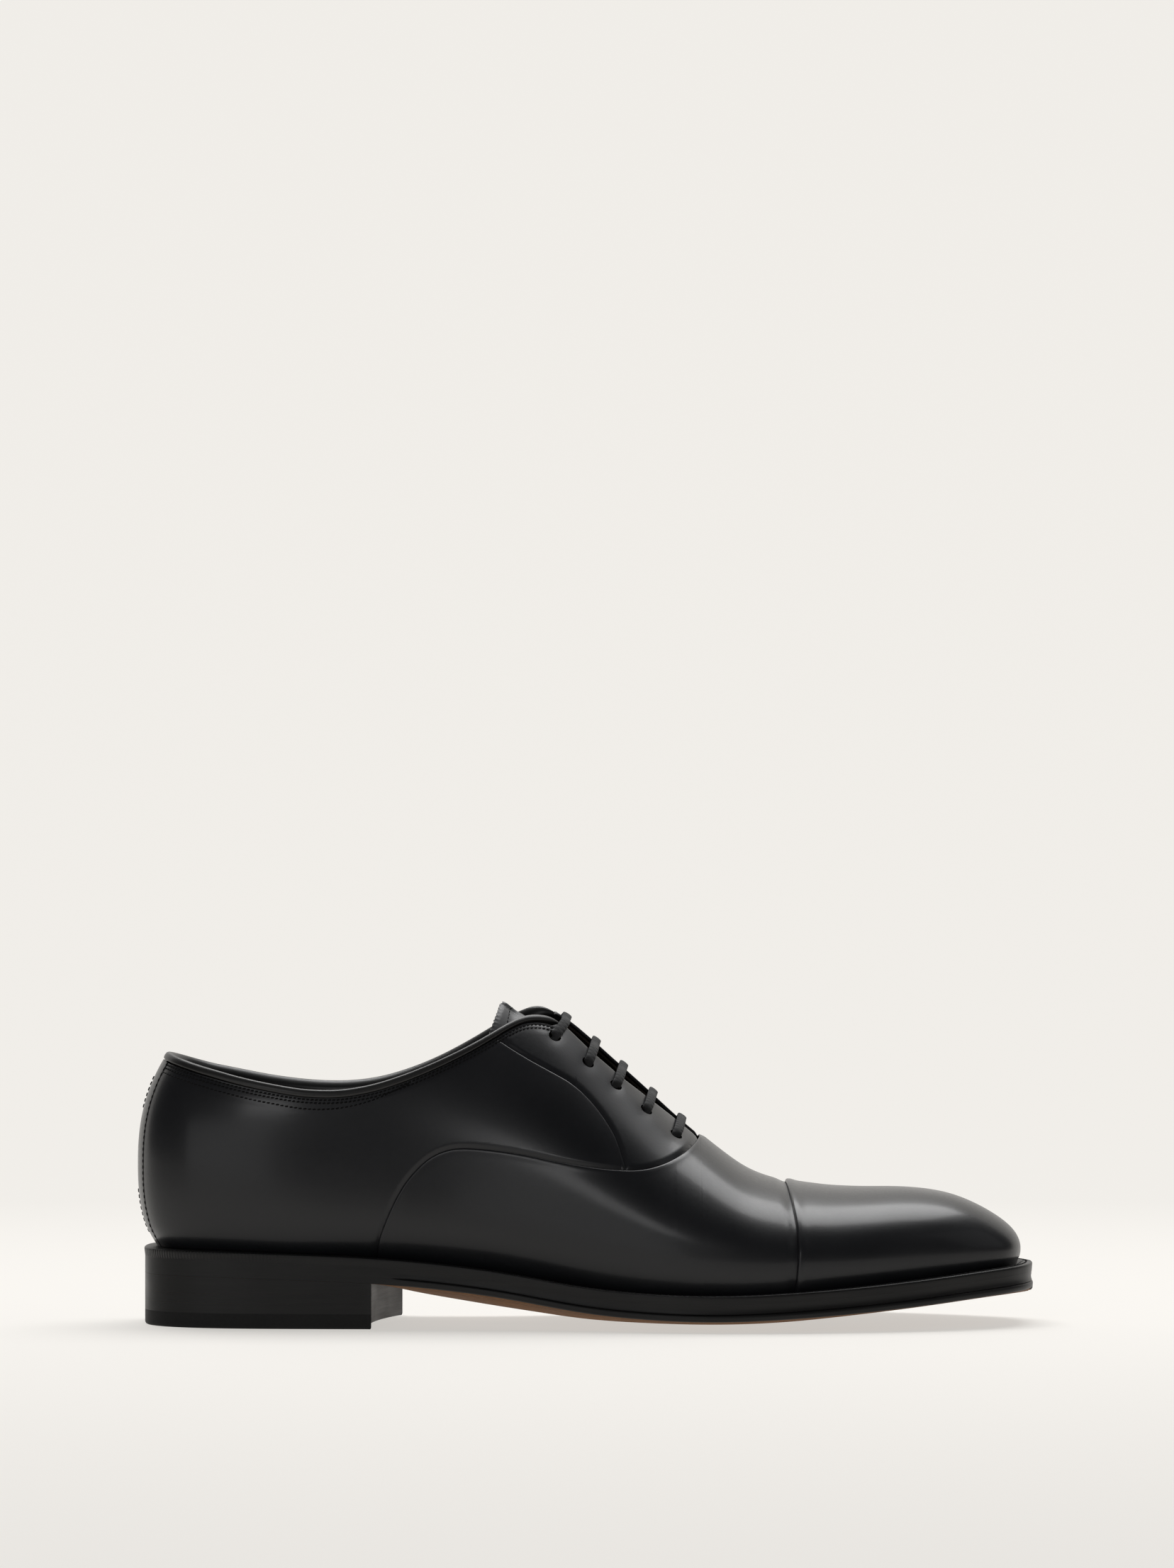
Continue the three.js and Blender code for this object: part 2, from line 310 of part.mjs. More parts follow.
// ---- lace ----
function tube(points, r, steps, sides = 8) {
  const s = new THREE.Shape();
  for (let i = 0; i < sides; i++) { const a = TAU * i / sides; i ? s.lineTo(r * Math.cos(a), r * Math.sin(a)) : s.moveTo(r, 0); }
  const curve = new THREE.CatmullRomCurve3(points, false, 'centripetal');
  return { curve, geo: new THREE.ExtrudeGeometry(s, { steps, bevelEnabled: false, extrudePath: curve }) };
}
const H = { L: holes(-1), M: holes(1) };
const at = (h, d) => h.c.clone().addScaledVector(h.n, -d);
// where the bar from a hole crosses its facing's edge
function crossing(h, side) {
  const e = side < 0 ? EDGE_LAT : EDGE_MED, x0 = h.xz[0], z0 = h.xz[1];
  let k = 0; while (k < 20 && z0 + k * 0.84 < zAt(topLine(side), x0 + k * 0.54)) k += 0.05;
  const p = pXZ(x0 + k * 0.54, z0 + k * 0.84, side);
  return surf(...p).addScaledVector(normal(...p), LACE_OVER);
}
function bar(a, b) {       // over the facings from hole a to hole b
  const ea = crossing(a, a.side), eb = crossing(b, b.side), qa = at(a, -LACE_OVER), qb = at(b, -LACE_OVER);
  const da = ea.clone().sub(qa).normalize(), db = eb.clone().sub(qb).normalize();
  return [at(a, 0.2), qa.addScaledVector(da, 1.5), ea, ea.clone().lerp(eb, 0.5), eb, qb.addScaledVector(db, 1.5), at(b, 0.2)];
}
function under(a, b) {     // beneath the facing from hole a to hole b
  const pa = at(a, LACE_UNDER), pb = at(b, LACE_UNDER), d = pb.clone().sub(pa).normalize();
  return [at(a, 3.3), pa.clone().addScaledVector(d, 1.6), pa.clone().lerp(pb, 0.5).addScaledVector(a.n, -0.3), pb.clone().addScaledVector(d, -1.6), at(b, 3.3)];
}
const { L, M } = H;
const down = (h, d, k) => { const p = at(h, LACE_UNDER), t = new THREE.Vector3(-2, 0, -6); t.addScaledVector(h.n, -t.dot(h.n)).normalize(); return p.addScaledVector(t, k); };
const route = [down(L[0], 0, 1.8), at(L[0], 3.3), ...bar(L[0], M[0]), ...under(M[0], M[1]), ...bar(M[1], L[1]), ...under(L[1], L[2]), ...bar(L[2], M[2]), ...under(M[2], M[3]), ...bar(M[3], L[3]), ...under(L[3], L[4]), ...bar(L[4], M[4]), at(M[4], 3.3), down(M[4], 0, 1.8)];
const lace = tube(route, LACE_R, 72);
node('lace', lace.geo, 'lace');

// ---- insole, welt, sole ----
const soleEdge = (u, side, inset) => {
  const S = side < 0 ? SOLE_LAT : SOLE_MED, e = 1e-3, ua = clamp(u - e, 0, 1), ub = clamp(u + e, 0, 1);
  const X = q => xOf(q, SOLE_X0, SOLE_X1);
  let dx = X(ub) - X(ua), dy = S(ub) - S(ua); const l = Math.hypot(dx, dy);
  let nx = (side < 0 ? dy : -dy) / l, ny = (side < 0 ? -dx : dx) / l;
  if (u < 1e-6) { nx = -1; ny = 0; } if (u > 1 - 1e-6) { nx = 1; ny = 0; }
  return [X(u) - nx * inset, S(u) - ny * inset];
};
const halfAt = (x, y) => { const u = stationOf(clamp(x, SOLE_X0, SOLE_X1), SOLE_X0, SOLE_X1); return Math.abs((y < 0 ? SOLE_LAT : SOLE_MED)(u)) || 1; };
const base = (x, y) => EDGE_Z(x) - sag(x) * Math.max(1 - (y / halfAt(x, y)) ** 2, 0);
// plate between two heights over base, from station u0 to u1, edges given by a function
function plate(edge, us, nj, zt, zb) {
  const top = [], bot = [];
  for (const u of us) {
    const a = edge(u, -1), b = edge(u, 1);
    for (let j = 0; j < nj; j++) {
      const t = j / (nj - 1), x = lerp(a[0], b[0], t), y = lerp(a[1], b[1], t);
      top.push(new THREE.Vector3(x, y + Y_SHIFT, zt(x, y))); bot.push(new THREE.Vector3(x, y + Y_SHIFT, zb(x, y)));
    }
  }
  return shell(top, bot, gridCells(us.length, nj));
}
const steps = (a, b, n) => Array.from({ length: n }, (_, i) => lerp(a, b, i / (n - 1)));
const over = k => (x, y) => base(x, y) + k;
const featherEdge = inset => (u, side) => {
  const p = [clamp(u, 0, 1), side, -0.8], q = surf(...p), n = normal(...p);
  let nx = n.x, ny = n.y; const l = Math.hypot(nx, ny); nx /= l; ny /= l;
  if (u < 1e-6) { nx = -1; ny = 0; } if (u > 1 - 1e-6) { nx = 1; ny = 0; }
  return [q.x - nx * inset, q.y - Y_SHIFT - ny * inset];
};
node('outsole', plate((u, s) => soleEdge(u, s, 0), steps(0, 1, 25), 5, over(-OUTSOLE_TOP), over(-OUTSOLE_BOTTOM)), 'sole');
node('insole', plate(featherEdge(INSOLE_INSET), steps(0, 1, 15), 5, over(INSOLE[1]), over(INSOLE[0])), 'insole');
node('sock_liner', plate(featherEdge(INSOLE_INSET + 0.4), steps(0, 1, 17), 5, over(SOCK[1]), over(SOCK[0])), 'lining');
// welt ring
function ringPlate(in0, in1, n, zt, zb) {
  const top = [], bot = [], loop = [];
  for (let i = 0; i < n; i++) loop.push([i / n, -1]);
  for (let i = 0; i < n; i++) loop.push([1 - i / n, 1]);
  for (const [u, s] of loop) for (const k of [in0, in1]) {
    const [x, y] = soleEdge(u, s, k);
    top.push(new THREE.Vector3(x, y + Y_SHIFT, zt(x, y))); bot.push(new THREE.Vector3(x, y + Y_SHIFT, zb(x, y)));
  }
  const m = loop.length, cells = [];
  for (let i = 0; i < m; i++) { const j = (i + 1) % m; cells.push([2 * i, 2 * i + 1, 2 * j + 1, 2 * j]); }
  return shell(top, bot, cells);
}
node('welt', ringPlate(0, WELT_WIDTH, 17, over(0), over(-WELT_T)), 'edge');
node('insole_rib', ringPlate(WELT_WIDTH + 0.7, WELT_WIDTH + 2.5, 17, over(-0.3), over(-WELT_T + 0.3)), 'insole');
{
  const cork = plate((u, s) => soleEdge(u, s, WELT_WIDTH + 4.4), steps(0.16, 0.86, 11), 3, over(-0.3), over(-WELT_T + 0.3));
  const slot = new THREE.BoxGeometry(104, 14, 30).translate(-45, 0, 18);
  node('cork_filler', cut(cork, [slot]), 'cork');
  const shank = plate((u, s) => [lerp(-94, 4, u), s * 5.5 - 1.65], steps(0, 1, 9), 3, over(-0.9), over(-2.2));
  node('shank', shank, 'steel');
}
// heel: outline of the sole's back part, closed by a curved breast
const BREAST_LAT = -71.2, BREAST_MED = -62.8, BREAST_BOW = 4.2;
const uB = (x) => stationOf(x, SOLE_X0, SOLE_X1);
const heelEdge = (f, side) => {  // f 0 at the back, 1 at the breast
  const u = uB(side < 0 ? BREAST_LAT : BREAST_MED) * f;
  return soleEdge(u, side, 0.15);
};
const nailAt = [[-132, -12], [-132, 12], [-112, 20], [-112, -20], [-90, 0]];
LIFT_Z.forEach(([z0, z1], i) => {
  const rows = steps(0, 1, 8), nj = 3;
  const warp = (f, side) => heelEdge(f, side);
  const top = [], bot = [];
  rows.forEach(f => {
    const a = warp(f, -1), b = warp(f, 1);
    for (let j = 0; j < nj; j++) {
      const t = j / (nj - 1), x = lerp(a[0], b[0], t) - BREAST_BOW * 4 * t * (1 - t) * f ** 3, y = lerp(a[1], b[1], t);
      top.push(new THREE.Vector3(x, y + Y_SHIFT, z1 === null ? base(x, y) - OUTSOLE_BOTTOM - 1.1 : z1)); bot.push(new THREE.Vector3(x, y + Y_SHIFT, z0));
    }
  });
  const geo = shell(top, bot, gridCells(rows.length, nj));
  const drills = nailAt.map(([x, y]) => { const c = new THREE.CylinderGeometry(1.3, 1.3, 24, 6); c.rotateX(Math.PI / 2); return c.translate(x, y, 17.5); });
  node(i === 0 ? 'top_piece' : `heel_lift_${i}`, i === 0 ? geo : cut(geo, drills), i === 0 ? 'rubber' : 'edge');
});
nailAt.forEach(([x, y], i) => {
  const c = new THREE.CylinderGeometry(0.9, 0.6, 7.8, 6); c.rotateX(Math.PI / 2);
  node(`heel_nail_${i + 1}`, c.translate(x, y, 9.6), 'steel');
});


// free ends, tucked into the shoe: down beside the tongue, then laid on the sock liner
const sockTop = (x, y) => base(x, y - Y_SHIFT) + SOCK[1];
function tail(h, side, drop, floorPath, name, n) {
  const pts = [down(h, 0, 2.6), down(h, 0, 6)];
  for (const [x, z, d] of drop) { const p = pXZ(x, z, side); pts.push(surf(...p).addScaledVector(normal(...p), -d)); }
  for (const [x, y] of floorPath) pts.push(new THREE.Vector3(x, y, sockTop(x, y) + LACE_R + 1.15));
  // cut to length, leaving room for the aglet
  const full = new THREE.CatmullRomCurve3(pts, false, 'centripetal'), total = full.getLength(), out = [];
  const want = TAIL_LENGTH - 22;
  if (total < want) throw new Error(name + ' route is only ' + total.toFixed(0));
  for (let i = 0; i <= n; i++) out.push(full.getPointAt(want / total * i / n));
  const t = out[n].clone().sub(out[n - 1]).normalize(); t.z = 0; t.normalize();
  node(name, tube(out, LACE_R, n).geo, 'lace');
  const a = new THREE.CylinderGeometry(1.2, 1.2, 21, 8).applyQuaternion(new THREE.Quaternion().setFromUnitVectors(Yaxis, t));
  const c = out[n].clone().addScaledVector(t, 0.4 + 10.5); c.z += 0.45;
  node(name.replace('lace_end', 'aglet'), a.translate(c.x, c.y, c.z), 'aglet');
}


tail(L[0], -1, [[-16, 84, 5.8], [-22, 68, 6.0], [-29, 52, 6.2], [-38, 38, 6.6]], [[-50, -17.5], [-64, -16], [-82, -17.5], [-101, -16], [-118, -13], [-130, -8.5], [-133.5, -2.5], [-128, 0.8], [-112, -1.8], [-94, -4], [-76, -3], [-58, -4], [-40, -5]], 'lace_end_lateral', 30);
tail(M[4], 1, [[25, 54, 6.2], [18, 44, 6.6], [8, 34, 7.2]], [[-6, 19], [-20, 15.5], [-38, 13.5], [-56, 14.5], [-74, 17], [-92, 17.5], [-108, 16.5], [-118, 12], [-116, 7.2], [-104, 6.2], [-88, 7.4], [-70, 5.6], [-50, 4.6], [-30, 5.6]], 'lace_end_medial', 30);

export default group;
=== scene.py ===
import math
import bpy
import bmesh
import numpy as np
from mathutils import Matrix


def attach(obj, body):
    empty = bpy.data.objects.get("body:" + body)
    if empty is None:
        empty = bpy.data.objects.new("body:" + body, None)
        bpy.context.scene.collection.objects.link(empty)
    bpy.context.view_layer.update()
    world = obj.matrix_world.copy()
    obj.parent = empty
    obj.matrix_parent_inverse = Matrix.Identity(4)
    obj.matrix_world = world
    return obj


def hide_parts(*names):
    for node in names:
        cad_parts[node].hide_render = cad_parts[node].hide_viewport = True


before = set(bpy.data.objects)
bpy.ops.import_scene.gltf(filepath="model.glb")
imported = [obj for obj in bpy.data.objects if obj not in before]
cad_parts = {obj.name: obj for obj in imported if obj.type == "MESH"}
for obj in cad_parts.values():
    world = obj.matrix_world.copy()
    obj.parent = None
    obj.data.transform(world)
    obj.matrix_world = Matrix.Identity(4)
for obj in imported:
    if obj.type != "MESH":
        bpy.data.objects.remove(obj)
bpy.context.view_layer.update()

# ------------------------------------------------------------------ shape of the last, in mm
UX0, UX1 = -150.6, 147.1
SX0, SX1 = -149.3, 151.1
OFF = np.array([-0.25, 1.78, 0.0])          # the frame's origin under the middle of the shoe
PI = math.pi


def station(x, a, b):
    return np.arccos(np.clip(1 - 2 * (np.asarray(x, float) - a) / (b - a), -1, 1)) / PI


def xof(u, a, b):
    return (a + b) / 2 - (b - a) / 2 * np.cos(PI * np.asarray(u, float))


uX = lambda x: station(x, UX0, UX1)
xU = lambda u: xof(u, UX0, UX1)


class Spline:
    def __init__(s, pts):
        x = np.array([p[0] for p in pts], float); y = np.array([p[1] for p in pts], float)
        n = len(x); h = np.diff(x); A = np.eye(n); r = np.zeros(n)
        for i in range(1, n - 1):
            A[i, i - 1] = h[i - 1]; A[i, i] = 2 * (h[i - 1] + h[i]); A[i, i + 1] = h[i]
            r[i] = 6 * ((y[i + 1] - y[i]) / h[i] - (y[i] - y[i - 1]) / h[i - 1])
        s.x, s.y, s.m, s.h = x, y, np.linalg.solve(A, r), h

    def __call__(s, q):
        q = np.clip(np.asarray(q, float), s.x[0], s.x[-1])
        i = np.clip(np.searchsorted(s.x, q, side="right") - 1, 0, len(s.x) - 2)
        h = s.h[i]; a = (s.x[i + 1] - q) / h; b = (q - s.x[i]) / h
        return a * s.y[i] + b * s.y[i + 1] + ((a**3 - a) * s.m[i] + (b**3 - b) * s.m[i + 1]) * h * h / 6


up = lambda tab: Spline([(float(station(x, UX0, UX1)), y) for x, y in tab])
so = lambda tab: Spline([(float(station(x, SX0, SX1)), y) for x, y in tab])
SIDE_LAT = up([(UX0, 0), (-148.6, -11.5), (-145.6, -17.6), (-140.6, -23), (-130.6, -28.4), (-115, -31.8), (-97, -33.2), (-80, -33), (-60, -32.8), (-40, -34.2), (-20, -37.2), (0, -41.4), (20, -45.8), (40, -48.8), (55, -49.2), (70, -47.4), (85, -44), (100, -39.6), (115, -34.2), (128, -28.4), (137, -22.8), (142, -18), (145, -12.4), (UX1, 1)])
SIDE_MED = up([(UX0, 0), (-148.6, 11.5), (-145.6, 17.4), (-140.6, 22.6), (-130.6, 27.6), (-115, 30.2), (-97, 30.6), (-80, 29.6), (-60, 28.2), (-40, 28.2), (-20, 30.2), (0, 34.2), (20, 39.4), (40, 43.8), (55, 46.2), (70, 47), (85, 45.8), (100, 42.4), (115, 37), (128, 30.8), (137, 25), (142, 20), (145, 14.4), (UX1, 1)])
RIDGE_Y = up([(UX0, 0), (-135, 0.6), (-110, 1.5), (-80, 2.6), (-50, 4), (-25, 5.2), (0, 5.6), (20, 5.4), (40, 4.6), (60, 3.6), (80, 2.6), (100, 2.2), (125, 1.6), (UX1, 1)])
WIDEST_Z = up([(UX0, 54), (-140, 52.4), (-120, 49.5), (-100, 46.5), (-80, 43.6), (-60, 40.6), (-40, 37.4), (-20, 33.8), (0, 30), (20, 26.4), (40, 23.8), (60, 22.8), (80, 23), (100, 23.8), (120, 24.6), (137, 25), (UX1, 25)])
RIDGE_Z = up([(UX0, 113), (-135, 114), (-110, 117.5), (-85, 121), (-62, 122.6), (-42, 121), (-27, 116.6), (-16, 111.2), (-7, 104.9), (0.3, 98.4), (8.5, 90.8), (19.6, 80.6), (28.9, 71.8), (38.8, 63.6), (46.2, 57.8), (54.4, 52.2), (61, 49.4), (67, 47.8), (76, 46.6), (87.5, 45.8), (95.6, 45.6), (104, 45.6), (112.2, 45.2), (123, 43.4), (131.3, 40.3), (138.7, 36.2), (144.5, 31.4), (UX1, 25)])
EDGE_Z = Spline([(-151, 25.9), (-126, 25.7), (-102, 25), (-80, 24.2), (-64, 23.2), (-45, 21.4), (-30, 19.5), (-16, 17.2), (-2, 14.9), (18, 12.95), (42, 12.2), (66, 13), (90, 14.7), (114, 17), (138, 19.5), (151.6, 20.6)])
SAG = Spline([(-152, 0), (-90, 0), (-72, 1.2), (-58, 3.4), (-45, 4.6), (-30, 5.2), (-16, 5), (0, 4.5), (18, 3.9), (42, 3.6), (66, 3.6), (90, 2.8), (114, 2.1), (138, 1.5), (152, 1.3)])
TUCK_LAT = up([(UX0, 5.9), (-130, 5), (-100, 4.4), (-60, 4.8), (-30, 4.8), (0, 3.8), (30, 2.8), (60, 2.4), (100, 2.2), (130, 2), (UX1, 1.8)])
TUCK_MED = up([(UX0, 5.9), (-130, 5), (-100, 4.8), (-60, 6.4), (-30, 7.2), (0, 6), (30, 3.8), (60, 2.6), (100, 2.2), (130, 2), (UX1, 1.8)])
ROUND = up([(UX0, 2.1), (-100, 2.05), (-60, 1.85), (-30, 1.58), (0, 1.5), (25, 1.55), (45, 1.78), (70, 2.05), (100, 2.2), (130, 2.15), (UX1, 2)])
SOLE_LAT = so([(SX0, 0), (-148, -12.5), (-145.4, -18.4), (-140, -24.4), (-125, -31.5), (-105, -34.5), (-85, -35.5), (-60, -36.5), (-40, -38.5), (-20, -42), (0, -46.5), (20, -51), (40, -53.8), (60, -53.5), (80, -50.5), (101.6, -45), (121.6, -37.5), (131.6, -32), (141.6, -25), (147, -18), (149.6, -11.5), (SX1, 2)])
SOLE_MED = so([(SX0, 0), (-148, 12.5), (-145.4, 18), (-140, 23.4), (-125, 29.5), (-105, 32), (-85, 31.5), (-60, 29), (-40, 27.4), (-20, 28.4), (0, 32.4), (20, 39), (40, 45), (55, 49), (70, 50.5), (85, 49), (100, 45.6), (115, 40), (130, 32), (140, 25.4), (147, 18), (149.6, 12), (SX1, 2)])
TOP_LAT = [(-150.6, 91.4), (-148.5, 90.7), (-143.7, 89.4), (-137, 87.6), (-130.6, 86.1), (-122.3, 84.2), (-114.3, 82.6), (-106.7, 81.3), (-100.3, 80.3), (-94.6, 79.6), (-86.2, 79.3), (-79.8, 79.7), (-70.3, 81.4), (-59.9, 84.8), (-49.7, 89), (-39.5, 93.9), (-31.8, 98.2), (-28.2, 100.4), (-24, 102.6), (-20.9, 103.8), (-17.7, 104.3), (-13.4, 103.9), (-10, 102.6), (-7.1, 100.7)]
TOP_MED = [(-150.6, 91.4), (-146.2, 90.1), (-140.5, 88.5), (-134.7, 87), (-128.9, 85.9), (-123.2, 84.9), (-111.9, 82.9), (-100.9, 81.5), (-90.3, 80.7), (-79.9, 80.8), (-69.8, 82.2), (-59.9, 85.2), (-50.1, 89.3), (-40.4, 94.5), (-32, 99.6), (-25.5, 103.6), (-19, 106.5), (-15.8, 106.8), (-12.5, 106.1), (-9.6, 104.7)]
EDGE_LAT = [(-7.1, 100.7), (-0.4, 94.2), (3.5, 90.6), (8.5, 86.3), (12.8, 82.7), (18.9, 78), (23.3, 74.6), (29.3, 69.9), (34.3, 65.8), (38.5, 62.3)]
EDGE_MED = [(-9.6, 104.7), (-4.2, 101), (0.3, 97.2), (4.2, 93.8), (8.6, 89.8), (13, 85.9), (19.7, 79.9), (23.5, 76.4), (29.1, 71.2), (34.1, 66.8), (38.5, 63.0)]
VAMP_SEAM = [(-69.6, 23.6), (-69.4, 26.4), (-68.7, 30), (-66.7, 35.7), (-63.9, 42.1), (-60.3, 48.5), (-56.3, 53.2), (-52.3, 56.8), (-47.6, 59.2), (-42, 60.3), (-32.4, 59.7), (-21.2, 58.2), (-9.2, 55.7), (2.7, 53.8), (13.3, 52.9), (20.2, 53.3), (26.6, 55.1), (32.3, 57.9), (36.1, 60.6), (38.6, 63.1)]
FACING_SEAM = [(-31.4, 97.6), (-30, 96.4), (-23.1, 91.9), (-16.7, 88.2), (-10.1, 84.7), (-4.6, 81.6), (0.8, 76.8), (5.1, 71.6), (8.4, 66.7), (10.5, 62.6), (12.1, 57.5), (13.3, 53.2), (13.9, 49), (14.2, 45)]
CAP_SEAM = [(-1, 69.7), (-0.047, 70.2), (0.161, 70.3), (0.318, 70), (0.465, 69.3), (0.641, 68.5), (0.855, 67.9), (1, 67.6)]
ROW3 = [(-150.6, 85.5), (-143.9, 83.7), (-135.5, 81.3), (-127.6, 79.3), (-120, 77.6), (-112.5, 76), (-105.3, 74.8), (-99.3, 73.7), (-91.2, 72.8), (-82.9, 73.2), (-76, 74.5), (-69.1, 76.7), (-63.7, 79.2), (-58, 82)]
HOLES = {-1: [(-10.4, 97.0), (0.8, 88.2), (10.2, 80.6), (20.4, 72.4), (30.4, 64.2)], 1: [(-9.8, 99), (1.4, 90), (10.8, 82), (21, 73.4), (30.8, 64.8)]}
LACE_R, LACE_OVER, LACE_UNDER, TAIL = 1.0, 0.78, 5.7, 250.0
WELT_T, SOLE_TOP, SOLE_BOT = 3.0, 3.08, 8.6
SOCK = 4.6


half_at = lambda x, y: np.abs(np.where(y < 0, SOLE_LAT(station(np.clip(x, SX0, SX1), SX0, SX1)), SOLE_MED(station(np.clip(x, SX0, SX1), SX0, SX1)))) + 1e-9


def base(x, y):
    return EDGE_Z(x) - np.maximum(SAG(x), 0) * np.maximum(1 - (y / half_at(x, y)) ** 2, 0)


def smooth(a, b, x):
    t = np.clip((np.asarray(x, float) - a) / (b - a), 0, 1)
    return t * t * (3 - 2 * t)


def surf(u, side, v):
    u, v, side = np.broadcast_arrays(np.asarray(u, float), np.asarray(v, float), np.asarray(side, float))
    X = xU(u); lat = side < 0
    ys = np.where(lat, SIDE_LAT(u), SIDE_MED(u)); yr = RIDGE_Y(u); zc = WIDEST_Z(u); zr = RIDGE_Z(u); zf = EDGE_Z(X)
    tk = np.where(lat, TUCK_LAT(u), TUCK_MED(u)); p = ROUND(u)
    e = 1e-3; ua = np.clip(u - e, 0, 1); ub = np.clip(u + e, 0, 1)
    dx = xU(ub) - xU(ua); dy = np.where(lat, SIDE_LAT(ub) - SIDE_LAT(ua), SIDE_MED(ub) - SIDE_MED(ua))
    l = np.hypot(dx, dy) + 1e-12
    nx, ny = np.where(lat, dy, -dy) / l, np.where(lat, -dx, dx) / l
    t = np.clip(-v, 0, 1); ins = tk * t**2.6
    phi = np.clip(v, 0, 1) * PI / 2; c = np.maximum(np.cos(phi), 0); c = np.where(c < 1e-9, 0, c)
    low = v < 0
    y = np.where(low, ys - ny * ins, yr + (ys - yr) * c ** (2 / p))
    z = np.where(low, zc - t * (zc - zf), zc + (zr - zc) * np.sin(phi))
    g = np.clip((-62 - X) / (-62 - UX0), 0, 1); g = g * g * (3 - 2 * g)
    z = np.where(low, z - smooth(0.72, 1.0, t) * (zf - base(X, y)), z)
    x = np.where(low, X - nx * ins, X) + 0.00185 * np.maximum(z - 54, 0) ** 2.38 * g
    x = x - 0.9 * (1 - smooth(UX0, -126, X)) * smooth(24, 34, z)
    return np.stack([x, y, z], -1) + OFF


def normal(u, side, v):
    u, v, side = np.broadcast_arrays(np.asarray(u, float), np.asarray(v, float), np.asarray(side, float))
    e = 2e-3
    uc = np.clip(u, 2 * e, 1 - 2 * e); vc = np.minimum(v, 1 - 2 * e)
    a = surf(uc + e, side, vc) - surf(uc - e, side, vc)
    b = surf(uc, side, np.minimum(vc + e, 1)) - surf(uc, side, np.maximum(vc - e, -1))
    n = np.cross(a, b) * np.where(side < 0, 1, -1)[..., None]
    n /= np.linalg.norm(n, axis=-1, keepdims=True) + 1e-12
    end = (u < 1e-6) | (u > 1 - 1e-6)
    n[..., 1] = np.where(end, 0, n[..., 1])
    n = np.where((u > 1 - 1e-6)[..., None], np.array([1.0, 0, 0]), n)
    top = (v > 1 - 1e-6) & ~(u > 1 - 1e-6)
    n[..., 1] = np.where(top, 0, n[..., 1])
    return n / (np.linalg.norm(n, axis=-1, keepdims=True) + 1e-12)


def at_depth(u, side, v, d):
    return surf(u, side, v) - normal(u, side, v) * np.asarray(d, float)[..., None]


def v_of_z(u, z):
    zc, zr, zf = WIDEST_Z(u), RIDGE_Z(u), EDGE_Z(xU(u))
    return np.where(z >= zc, np.arcsin(np.clip((z - zc) / (zr - zc), 0, 1)) * 2 / PI, np.maximum(-(zc - z) / (zc - zf), -1))


def v_feather(u, gap=0.08):
    return -1 + gap / (WIDEST_Z(u) - EDGE_Z(xU(u)))


def chaikin(pts, n=3):
    p = np.array(pts, float)
    for _ in range(n):
        q = np.empty((2 * len(p), 2)); q[0::2] = p * 0.75 + np.roll(p, -1, 0) * 0.25; q[1::2] = p * 0.25 + np.roll(p, -1, 0) * 0.75
        p = np.vstack([p[:1], q[:-2], p[-1:]])
    return p


def fine(pts):          # smooth dense polyline through a table, as x -> z
    p = chaikin(pts, 3)
    return lambda x: np.interp(x, p[:, 0], p[:, 1]), p


TOPS, TOPP = {}, {}
for _s, _t, _e in ((-1, TOP_LAT, EDGE_LAT), (1, TOP_MED, EDGE_MED)):
    TOPS[_s], TOPP[_s] = fine(_t + _e[1:])
seam_z, SEAM = fine(VAMP_SEAM)
face_z, FACE = fine(FACING_SEAM)
row3_z, _ = fine(ROW3)
xcap = Spline(CAP_SEAM)


def dist(poly, x, z):
    """Distance from points to a polyline in the side view, in mm."""
    P = poly; A, B = P[:-1], P[1:]; d = B - A; L2 = (d**2).sum(1) + 1e-12
    q = np.stack([np.ravel(x), np.ravel(z)], -1)
    best = np.full(len(q), 1e9)
    for k in range(0, len(q), 4000):
        w = q[k:k + 4000, None, :] - A[None]
        t = np.clip((w * d[None]).sum(-1) / L2, 0, 1)
        best[k:k + 4000] = np.sqrt(((w - t[..., None] * d[None]) ** 2).sum(-1).min(1))
    return best.reshape(np.shape(x))


# ------------------------------------------------------------------ materials
def tree(name):
    m = bpy.data.materials.new(name); m.use_nodes = True
    nt = m.node_tree; nt.nodes.clear()
    out = nt.nodes.new("ShaderNodeOutputMaterial"); b = nt.nodes.new("ShaderNodeBsdfPrincipled")
    nt.links.new(b.outputs[0], out.inputs[0])
    return m, nt, b


def node(nt, kind, **kw):
    n = nt.nodes.new(kind)
    for k, v in kw.items():
        if k.startswith("i_"):
            key = k[2:].replace("_", " ")
            n.inputs[int(key) if key.isdigit() else key].default_value = v
        else:
            setattr(n, k, v)
    return n


def ramp(nt, src, stops):
    r = nt.nodes.new("ShaderNodeValToRGB"); e = r.color_ramp.elements
    while len(e) < len(stops):
        e.new(0.5)
    for el, (p, c) in zip(e, stops):
        el.position = p; el.color = c if len(c) == 4 else (*c, 1)
    nt.links.new(src, r.inputs[0]); return r.outputs[0]


def grey(v):
    return (v, v, v, 1)


